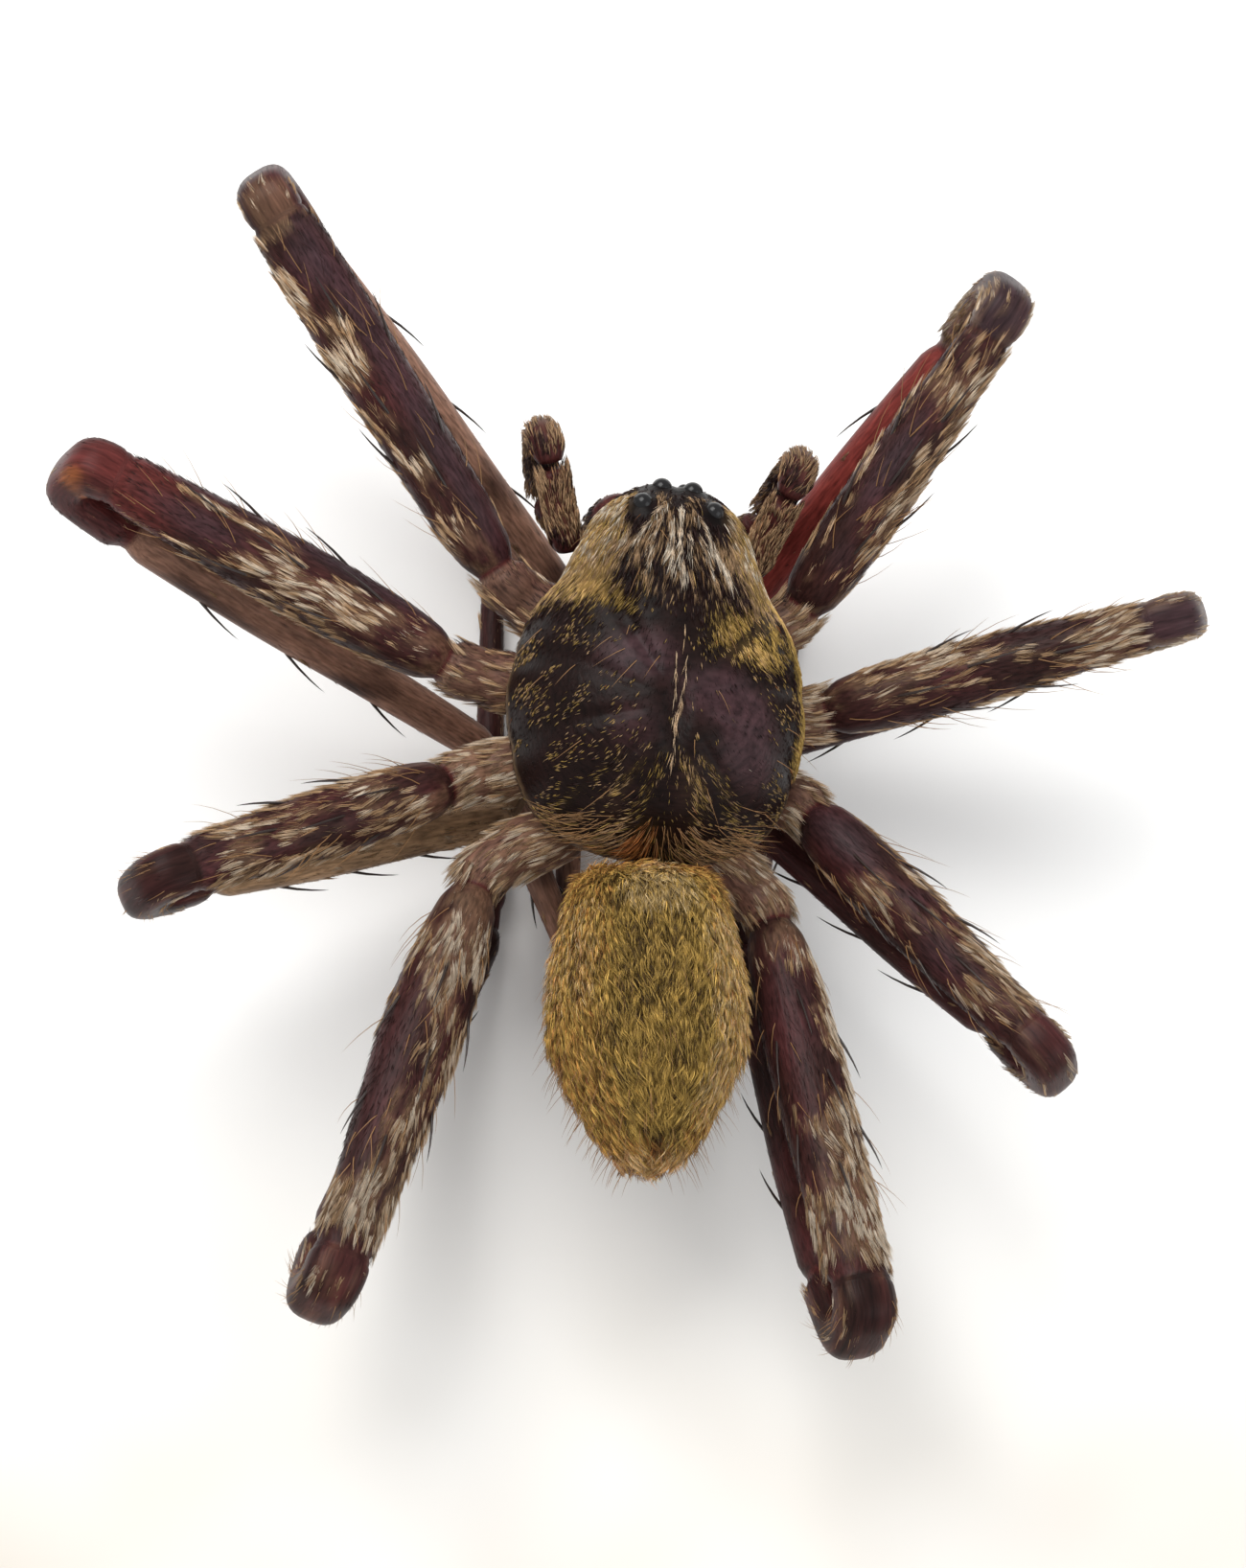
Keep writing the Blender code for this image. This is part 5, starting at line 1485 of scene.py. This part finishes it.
def markings_group(colours):
    """The tints over the dark cuticle, shared by the skin and the coat."""
    title = "Spider markings"
    if title in bpy.data.node_groups:
        return bpy.data.node_groups[title]
    group = bpy.data.node_groups.new(title, "ShaderNodeTree")
    group.interface.new_socket("Color", in_out="OUTPUT", socket_type="NodeSocketColor")
    nodes = group.nodes
    links = group.links
    colour = tuple(colours.dark)
    for name in TINTS[:LAST]:
        amount = mesh_values(nodes, name).outputs["Fac"]
        colour = mix(nodes, links, amount, colour, tuple(getattr(colours, name)))
    colour = mix(nodes, links, 1.0, colour, mesh_values(nodes, "shade").outputs["Color"], "MULTIPLY")
    links.new(colour, nodes.new("NodeGroupOutput").inputs[0])
    return group


def marked_material(name, colours, roughness, specular):
    """A material that starts from the shared markings."""
    material, nodes, links, shader = fresh_material(name, Roughness=roughness, Specular_IOR_Level=specular)
    marks = nodes.new("ShaderNodeGroup")
    marks.node_tree = markings_group(colours)
    links.new(marks.outputs[0], shader.inputs["Base Color"])
    return material, nodes, links, shader, marks.outputs[0]


def coat_material(colours):
    if "Coat" in bpy.data.materials:
        return bpy.data.materials["Coat"]
    return marked_material("Coat", colours, 0.45, 0.2)[0]


def skin_material(colours):
    """The cuticle, with short flat fur as a streaked bump."""
    material, nodes, links, shader, marks = marked_material("Skin", colours, 0.36, 0.08)
    stretch = nodes.new("ShaderNodeVectorMath")
    stretch.operation = "MULTIPLY"
    stretch.inputs[1].default_value = (1.6, 9.0, 9.0)
    links.new(mesh_values(nodes, "strand").outputs["Vector"], stretch.inputs[0])
    streaks = add_node(nodes, "ShaderNodeTexNoise", Scale=1.0, Detail=4.0)
    links.new(stretch.outputs[0], streaks.inputs["Vector"])
    light = add_node(nodes, "ShaderNodeMapRange", From_Min=0.3, From_Max=0.7, To_Min=0.45, To_Max=1.2)
    links.new(streaks.outputs["Fac"], light.inputs["Value"])
    grey = nodes.new("ShaderNodeCombineColor")
    for socket in grey.inputs:
        links.new(light.outputs["Result"], socket)
    colour = mix(nodes, links, 1.0, marks, grey.outputs[0], "MULTIPLY")
    links.new(colour, shader.inputs["Base Color"])
    bump = add_node(nodes, "ShaderNodeBump", Strength=0.5, Distance=0.00005)
    links.new(streaks.outputs["Fac"], bump.inputs["Height"])
    links.new(bump.outputs["Normal"], shader.inputs["Normal"])
    return material


# Horn: colour, dark colour, roughness and clear coat.
HORN = {
    "Eye": ((0.003, 0.003, 0.004), (0.006, 0.005, 0.005), 0.22, 0.0),
    "Fang": ((0.045, 0.010, 0.006), (0.012, 0.004, 0.004), 0.16, 0.6),
    "Spine": ((0.030, 0.016, 0.012), (0.012, 0.008, 0.008), 0.35, 0.2),
    "Bristle": ((0.36, 0.19, 0.075), (0.17, 0.085, 0.035), 0.45, 0.0),
}


def object_noise(nodes, links, scale):
    """A soft mottle fixed to the object, and the place that it reads."""
    place = nodes.new("ShaderNodeTexCoord").outputs["Object"]
    mottle = add_node(nodes, "ShaderNodeTexNoise", Scale=scale)
    links.new(place, mottle.inputs["Vector"])
    return mottle.outputs["Fac"], place


def horn_material(name):
    """Hard horn with a soft mottle, for eyes, fangs, spines and bristles."""
    if name in bpy.data.materials:
        return bpy.data.materials[name]
    colour, dark, roughness, coat = HORN[name]
    material, nodes, links, shader = fresh_material(name, Roughness=roughness, Specular_IOR_Level=0.3,
                                                    Coat_Weight=coat, Coat_Roughness=0.05)
    mottle = object_noise(nodes, links, 900.0)[0]
    links.new(mix(nodes, links, mottle, colour, dark), shader.inputs["Base Color"])
    return material


def dress(thing, material):
    """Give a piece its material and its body."""
    thing.data.materials.clear()
    thing.data.materials.append(material)
    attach(thing, "root")
    return thing


def colour_field(name, description, value):
    return bpy.props.FloatVectorProperty(name=name, description=description, subtype="COLOR", size=3,
                                         min=0.0, max=1.0, default=value)


def length_field(name, description, value):
    return bpy.props.FloatProperty(name=name, description=description, default=value, min=0.0, unit="LENGTH")


class SpiderColours(bpy.types.PropertyGroup):
    dark: colour_field("Dark", "Bare cuticle and the darkest hairs", (0.026, 0.0115, 0.0095))
    maroon: colour_field("Maroon", "Red-brown cuticle", (0.062, 0.018, 0.018))
    red: colour_field("Red", "Red shank and joint skin", (0.20, 0.032, 0.026))
    pink: colour_field("Pink", "Pale pinkish cuticle", (0.42, 0.23, 0.155))
    # Grey also paints the sheen of bare cuticle on the legs and the carapace, as a painted sheen.
    grey: colour_field("Grey", "Grey-lilac cuticle and hairs", (0.060, 0.043, 0.056))
    tan: colour_field("Tan", "Tan hairs", (0.68, 0.435, 0.235))
    gold: colour_field("Gold", "Ochre-gold hairs", (0.70, 0.455, 0.115))
    rust: colour_field("Rust", "Orange-brown hairs and bristles", (0.52, 0.175, 0.045))
    cream: colour_field("Cream", "Cream and white hairs", (0.95, 0.86, 0.72))


class SpiderSizes(bpy.types.PropertyGroup):
    coat_depth: length_field("Coat depth", "How far the skin lies inside the solids", 0.00013)
    hair_width: length_field("Hair width", "Width of a hair at its root", 0.000040)
    leg_hair_length: length_field("Leg hair", "Length of the hair on the legs", 0.00085)
    body_hair_length: length_field("Carapace hair", "Length of the hair on the carapace", 0.00065)
    abdomen_hair_length: length_field("Abdomen hair", "Length of the hair on the abdomen", 0.00080)
    spine_width: length_field("Spine width", "Width of a leg spine at its root", 0.00012)
    floor_size: length_field("Floor", "Width of the floor round the model", 0.6)


class SPIDER_OT_skin(bpy.types.Operator):
    """Builds the skin over the whole body"""

    bl_idname = "spider.skin"
    bl_label = "Skin"

    def execute(self, context):
        colours = context.scene.spider_colours
        depth = context.scene.spider_sizes.coat_depth / MM
        skin = Skin()
        for name in LEGS:
            add_leg(skin, Limb(name, depth))
        add_carapace(skin, Dome(depth))
        tube = abdomen_tube(depth)
        parts = stretches((0.0, 0.06, 10), (0.07, 0.93, 80), (0.94, 1.0, 10))

        def marks(part, angle, strand):
            found = abdomen_marks(part, angle, strand)
            return np.full(len(part), 0.3), found["pale"], found["cuticle"]

        skin.add_rings(*tube_rings(tube, parts, 72, marks))
        add_tube(skin, sternum_tube(depth), 0.25, 28, plain_marks("tan", 0.35))
        add_tube(skin, pedicel_tube(), 0.2, 16, plain_marks("pink", 0.3))
        for tube in spinneret_tubes():
            add_tube(skin, tube, 0.12, 16, plain_marks("tan", 0.3))
        for name in PALPS:
            for tube in palp_tubes(name, depth).values():
                add_tube(skin, tube, 0.2, 20, plain_marks("red", 0.10, pale=0.4))
        horn = plain_marks("red", 0.12, pale=0.3, maroon=0.8)
        for mirror in (-1.0, 1.0):
            add_tube(skin, chelicera_tube(mirror, depth), 0.15, 28, horn)
        thing = dress(skin.make("skin"), skin_material(colours))
        flesh = [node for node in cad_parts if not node.startswith("fang")]
        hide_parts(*flesh)
        return {"FINISHED"}


# The seed of the first leg's coat; each leg after it has the next.
LEG_COAT_SEED = 100


class SPIDER_OT_leg_coats(bpy.types.Operator):
    """Builds the coat of each leg"""

    bl_idname = "spider.leg_coats"
    bl_label = "Leg coats"

    def execute(self, context):
        material = coat_material(context.scene.spider_colours)
        sizes = context.scene.spider_sizes
        for number, name in enumerate(LEGS):
            limb = Limb(name, sizes.coat_depth / MM)
            coat = grow_leg(limb, sizes, np.random.default_rng(LEG_COAT_SEED + number))
            dress(coat.make("coat_" + name), material)
        return {"FINISHED"}


# Pieces of the abdomen's coat: name, places tried, seed.
ABDOMEN_COATS = (("left", 15000, 12), ("right", 15000, 15), ("under", 5000, 13))


class SPIDER_OT_body_coats(bpy.types.Operator):
    """Builds the coats of the carapace, abdomen, palps and underside"""

    bl_idname = "spider.body_coats"
    bl_label = "Body coats"

    def execute(self, context):
        material = coat_material(context.scene.spider_colours)
        sizes = context.scene.spider_sizes
        depth = sizes.coat_depth / MM
        width = sizes.hair_width / MM
        coat = grow_carapace(Dome(depth), sizes, np.random.default_rng(11))
        dress(coat.make("coat_carapace"), material)
        tube = abdomen_tube(depth)
        for name, count, seed in ABDOMEN_COATS:
            coat = grow_abdomen(tube, name, count, sizes, np.random.default_rng(seed))
            dress(coat.make("coat_abdomen_" + name), material)
        tubes = [tube for name in PALPS for tube in palp_tubes(name, depth).values()]
        parts = [(tube, int(190 * tube.length), 0.55, 0.9, 0.46, k * 0.125, k * 0.125 + 0.12)
                 for k, tube in enumerate(tubes)]
        rng = np.random.default_rng(14)
        coat = Coat()
        grow_small(coat, parts, width * 0.9, rng)
        dress(coat.make("coat_palps"), material)
        parts = [(sternum_tube(depth), 1100, 0.6, 0.9, 0.42, 0.0, 0.4)]
        parts += [(chelicera_tube(mirror, depth), 500, 0.6, 0.8, 0.42, low, low + 0.15)
                  for mirror, low in ((-1.0, 0.42), (1.0, 0.58))]
        parts += [(tube, 90, 0.4, 0.9, 0.42, 0.74 + k * 0.045, 0.78 + k * 0.045)
                  for k, tube in enumerate(spinneret_tubes())]
        coat = Coat()
        grow_small(coat, parts, width, rng)
        dress(coat.make("coat_underside"), material)
        return {"FINISHED"}


EYE_ROWS = 15
EYE_COLUMNS = 24


class SPIDER_OT_eyes(bpy.types.Operator):
    """Builds the eight eyes"""

    bl_idname = "spider.eyes"
    bl_label = "Eyes"

    def execute(self, context):
        points = []
        faces = []
        lean, turn = np.meshgrid(math.pi * np.arange(EYE_ROWS) / (EYE_ROWS - 1),
                                 2.0 * math.pi * np.arange(EYE_COLUMNS) / EYE_COLUMNS, indexing="ij")
        out = np.stack((np.sin(lean) * np.cos(turn), np.sin(lean) * np.sin(turn), np.cos(lean)), axis=-1)
        for x, y, z, radius in EYES:
            for mirror in (-1.0, 1.0):
                centre = on_body(*lean_head(np.array((x * mirror, y, z))))
                faces.extend(face[::-1] for face in ring_faces(EYE_ROWS, EYE_COLUMNS, len(points)))
                points.extend(centre + out.reshape(-1, 3) * radius * 0.96)
        dress(plain_object("eyes", points, faces), horn_material("Eye"))
        return {"FINISHED"}


FANG_ROWS = 26
FANG_COLUMNS = 16


class SPIDER_OT_fangs(bpy.types.Operator):
    """Builds the two fangs in place of the solids'"""

    bl_idname = "spider.fangs"
    bl_label = "Fangs"

    def execute(self, context):
        faces = ring_faces(FANG_ROWS, FANG_COLUMNS, 0) + ring_caps(FANG_ROWS, FANG_COLUMNS, 0)
        share = np.linspace(0.0, 1.0, FANG_ROWS)
        radii = [(part, FANG_RADIUS * (1.0 - 0.90 * part ** 1.3)) for part in np.linspace(0.0, 1.0, 12)]
        table = [(part, radius, radius) for part, radius in radii]
        for name, mirror in (("L", -1.0), ("R", 1.0)):
            inward = CHELICERA_SIDE - FANG_LENGTH * 0.62 * share
            ahead = CHELICERA_END[0] - 0.1 - 0.9 * share
            drop = CHELICERA_END[1] - GAP - 0.32 - 0.12 * np.sin(math.pi * share)
            tube = Tube(on_body(inward * mirror, ahead, drop), -AHEAD, UP, table, 0.0)
            points = tube.place(*ring_grid(share, FANG_COLUMNS))[0]
            thing = plain_object("fang_piece_" + name, points, faces)
            dress(thing, horn_material("Fang"))
            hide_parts("fang_" + name)
        return {"FINISHED"}


# Bristles: how far they lean off the skin, how far sideways, lengths, radius, how deep they are rooted,
# how far the tip bends along the part, and how far it droops.
FEMUR_BRISTLES = ((0.35, 0.9), 0.7, (1.0, 2.3), 0.020, 0.2, 0.3, (0.1, 0.5))
KNEE_BRISTLES = ((0.5, 1.2), 0.0, (0.4, 0.75), 0.012, 0.2, 0.2, (0.0, 0.2))
DOME_BRISTLES = ((0.4, 1.0), 0.6, (0.7, 1.7), 0.016, 0.2, 0.3, (0.1, 0.4))
ABDOMEN_BRISTLES = ((0.6, 1.3), 0.0, (0.8, 1.5), 0.017, 0.3, 0.35, (0.0, 0.3))
FEMUR_COUNT = 34
KNEE_COUNT = 70
DOME_COUNT = 300
REAR_COUNT = 260
ABDOMEN_COUNT = 620
SPINE_SIDES = 7
BRISTLE_SIDES = 4


class SPIDER_OT_spines(bpy.types.Operator):
    """Builds the leg spines and the long bristles"""

    bl_idname = "spider.spines"
    bl_label = "Spines and bristles"

    def execute(self, context):
        radius = context.scene.spider_sizes.spine_width / MM / 2.0
        spines = []
        bristles = []
        rng = np.random.default_rng(31)
        for name in LEGS:
            limb = Limb(name, 0.0)
            for root, way, length, away in leg_spines(limb):
                spines.append((root, way, length, radius, away * -SPINE_BOW * length))
            part = rng.uniform(0.05, 0.95, FEMUR_COUNT)
            angle = rng.uniform(-0.4, math.pi + 0.4, FEMUR_COUNT)
            place = limb.tubes["femur"].place(part, angle)
            add_bristles(bristles, FEMUR_COUNT, place, FEMUR_BRISTLES, rng)
            if LEG_LOOKS[name].knee == "bare":
                part = rng.uniform(0.1, 0.75, KNEE_COUNT)
                angle = rng.uniform(-0.5, math.pi + 0.5, KNEE_COUNT)
                place = limb.tubes["patella"].place(part, angle)
                add_bristles(bristles, KNEE_COUNT, place, KNEE_BRISTLES, rng)
        behind = rng.uniform(0.0, 0.07, REAR_COUNT)
        along = np.concatenate((behind, rng.uniform(0.07, 0.95, DOME_COUNT - REAR_COUNT)))
        place = Dome(0.0).place(along, rng.uniform(0.12, 0.88, DOME_COUNT))[:3]
        add_bristles(bristles, DOME_COUNT, place, DOME_BRISTLES, rng)
        part = rng.uniform(0.0, 0.98, ABDOMEN_COUNT)
        angle = rng.uniform(-0.45, math.pi + 0.45, ABDOMEN_COUNT)
        kept = rng.random(ABDOMEN_COUNT) < 0.25 + 0.75 * np.abs(np.cos(angle)) ** 2
        place = abdomen_tube(0.0).place(part[kept], angle[kept])
        add_bristles(bristles, kept.sum(), place, ABDOMEN_BRISTLES, rng)
        dress(plain_object("spines", *spike_mesh(spines, SPINE_SIDES)), horn_material("Spine"))
        bristles = plain_object("bristles", *spike_mesh(bristles, BRISTLE_SIDES))
        dress(bristles, horn_material("Bristle"))
        return {"FINISHED"}


# Camera: degrees round, up and in its plane, distance and target, and in pixels where the target stands
# off the picture's middle, the focal length and the picture's height.
CAMERA_AZIMUTH = -12.0
CAMERA_ELEVATION = 70.0
CAMERA_LEAN = 3.4
CAMERA_DISTANCE = 170.0
CAMERA_TARGET = (0.0, 0.0, 12.0)
TARGET_OFF_CENTRE = (40.0, -88.0)
FOCAL_PIXELS = 4930.0
PICTURE_HEIGHT = 1636.0
SENSOR = 36.0


# Lamps: name, place, width, power, colour.
LAMPS = (("key", (-0.10, 0.12, 0.26), 0.20, 0.75, (1.0, 0.99, 0.97)),
         ("fill", (0.22, -0.10, 0.18), 0.20, 0.20, (0.95, 0.98, 1.0)))
LAMP_TARGET = (0.0, 0.0, 0.008)
SKY_STRENGTH = 0.86
# Floor colours: near white, and a beige mottle that grows in between two distances along negative y.
FLOOR_COLOUR = (0.92, 0.92, 0.915)
FRONT_MOTTLE_COLOUR = (0.40, 0.33, 0.23)
FRONT_MOTTLE_FROM = -0.006
FRONT_MOTTLE_TO = -0.030


def floor_material():
    """Near white, and mottled with beige toward the front."""
    material, nodes, links, shader = fresh_material("Floor", Roughness=0.9)
    cloud, place = object_noise(nodes, links, 55.0)
    parts = nodes.new("ShaderNodeSeparateXYZ")
    links.new(place, parts.inputs["Vector"])
    near = add_node(nodes, "ShaderNodeMapRange", From_Min=FRONT_MOTTLE_FROM, From_Max=FRONT_MOTTLE_TO)
    links.new(parts.outputs["Y"], near.inputs["Value"])
    front_mottle = nodes.new("ShaderNodeMath")
    front_mottle.operation = "MULTIPLY"
    links.new(near.outputs["Result"], front_mottle.inputs[0])
    links.new(cloud, front_mottle.inputs[1])
    links.new(mix(nodes, links, front_mottle.outputs[0], FLOOR_COLOUR, FRONT_MOTTLE_COLOUR), shader.inputs["Base Color"])
    return material


def add_floor(scene):
    size = scene.spider_sizes.floor_size / 2.0
    mesh = bpy.data.meshes.new("floor")
    corners = [(-size, -size, 0), (size, -size, 0), (size, size, 0), (-size, size, 0)]
    mesh.from_pydata(corners, [], [(0, 1, 2, 3)])
    mesh.materials.append(floor_material())
    floor = bpy.data.objects.new("floor", mesh)
    scene.collection.objects.link(floor)


def add_camera(scene):
    """A camera that aims past its target, so that the target stands off centre."""
    azimuth = math.radians(CAMERA_AZIMUTH)
    elevation = math.radians(CAMERA_ELEVATION)
    lean = math.radians(CAMERA_LEAN)
    back = Vector((math.sin(azimuth) * math.cos(elevation), -math.cos(azimuth) * math.cos(elevation),
                   math.sin(elevation)))
    place = Vector(CAMERA_TARGET) - Vector(OUTLINE_MIDDLE) + back * CAMERA_DISTANCE
    upward = (Vector((0.0, 1.0, 0.0)) - back * back.y).normalized()
    upward = upward * math.cos(lean) - (-back).cross(upward) * math.sin(lean)
    across, down = TARGET_OFF_CENTRE
    aim = (-back * FOCAL_PIXELS - (-back).cross(upward) * across + upward * down).normalized()
    right = aim.cross(upward).normalized()
    turn = Matrix((right, right.cross(aim), -aim)).transposed().to_4x4()
    camera = bpy.data.cameras.new("camera")
    camera.lens = FOCAL_PIXELS / PICTURE_HEIGHT * SENSOR
    camera.sensor_width = SENSOR
    camera.clip_start = 0.01
    eye = bpy.data.objects.new("camera", camera)
    eye.matrix_world = Matrix.Translation(place * MM) @ turn
    scene.collection.objects.link(eye)
    scene.camera = eye


def add_lights(scene):
    for name, where, width, power, colour in LAMPS:
        light = bpy.data.lights.new(name, "AREA")
        light.size = width
        light.energy = power
        light.color = colour
        lamp = bpy.data.objects.new(name, light)
        lamp.location = where
        lamp.rotation_euler = (Vector(LAMP_TARGET) - Vector(where)).to_track_quat("-Z", "Y").to_euler()
        scene.collection.objects.link(lamp)
    world = bpy.data.worlds.new("world")
    world.use_nodes = True
    sky = world.node_tree.nodes["Background"]
    sky.inputs["Color"].default_value = (1.0, 1.0, 1.0, 1.0)
    sky.inputs["Strength"].default_value = SKY_STRENGTH
    scene.world = world


class SPIDER_OT_stage(bpy.types.Operator):
    """Builds the floor, the lights and the camera"""

    bl_idname = "spider.stage"
    bl_label = "Stage"

    def execute(self, context):
        scene = context.scene
        add_floor(scene)
        add_camera(scene)
        add_lights(scene)
        scene.view_settings.view_transform = "Standard"
        return {"FINISHED"}


class SPIDER_PT_panel(bpy.types.Panel):
    """Colours, sizes and the build steps"""

    bl_idname = "SPIDER_PT_panel"
    bl_label = "Wandering spider"
    bl_space_type = "VIEW_3D"
    bl_region_type = "UI"
    bl_category = "Spider"

    def draw(self, context):
        layout = self.layout
        for group in (context.scene.spider_colours, context.scene.spider_sizes):
            box = layout.box()
            for field in group.__annotations__:
                box.prop(group, field)
        for step in STEPS:
            layout.operator(step.bl_idname)


STEPS = (SPIDER_OT_skin, SPIDER_OT_eyes, SPIDER_OT_fangs, SPIDER_OT_spines, SPIDER_OT_leg_coats,
         SPIDER_OT_body_coats, SPIDER_OT_stage)
CLASSES = (SpiderColours, SpiderSizes) + STEPS + (SPIDER_PT_panel,)


def register():
    for kind in CLASSES:
        bpy.utils.register_class(kind)
    bpy.types.Scene.spider_colours = bpy.props.PointerProperty(type=SpiderColours)
    bpy.types.Scene.spider_sizes = bpy.props.PointerProperty(type=SpiderSizes)


def unregister():
    del bpy.types.Scene.spider_sizes
    del bpy.types.Scene.spider_colours
    for kind in reversed(CLASSES):
        bpy.utils.unregister_class(kind)


def main():
    register()
    bpy.ops.spider.skin()
    bpy.ops.spider.eyes()
    bpy.ops.spider.fangs()
    bpy.ops.spider.spines()
    bpy.ops.spider.leg_coats()
    bpy.ops.spider.body_coats()
    bpy.ops.spider.stage()


if __name__ == "__main__":
    main()
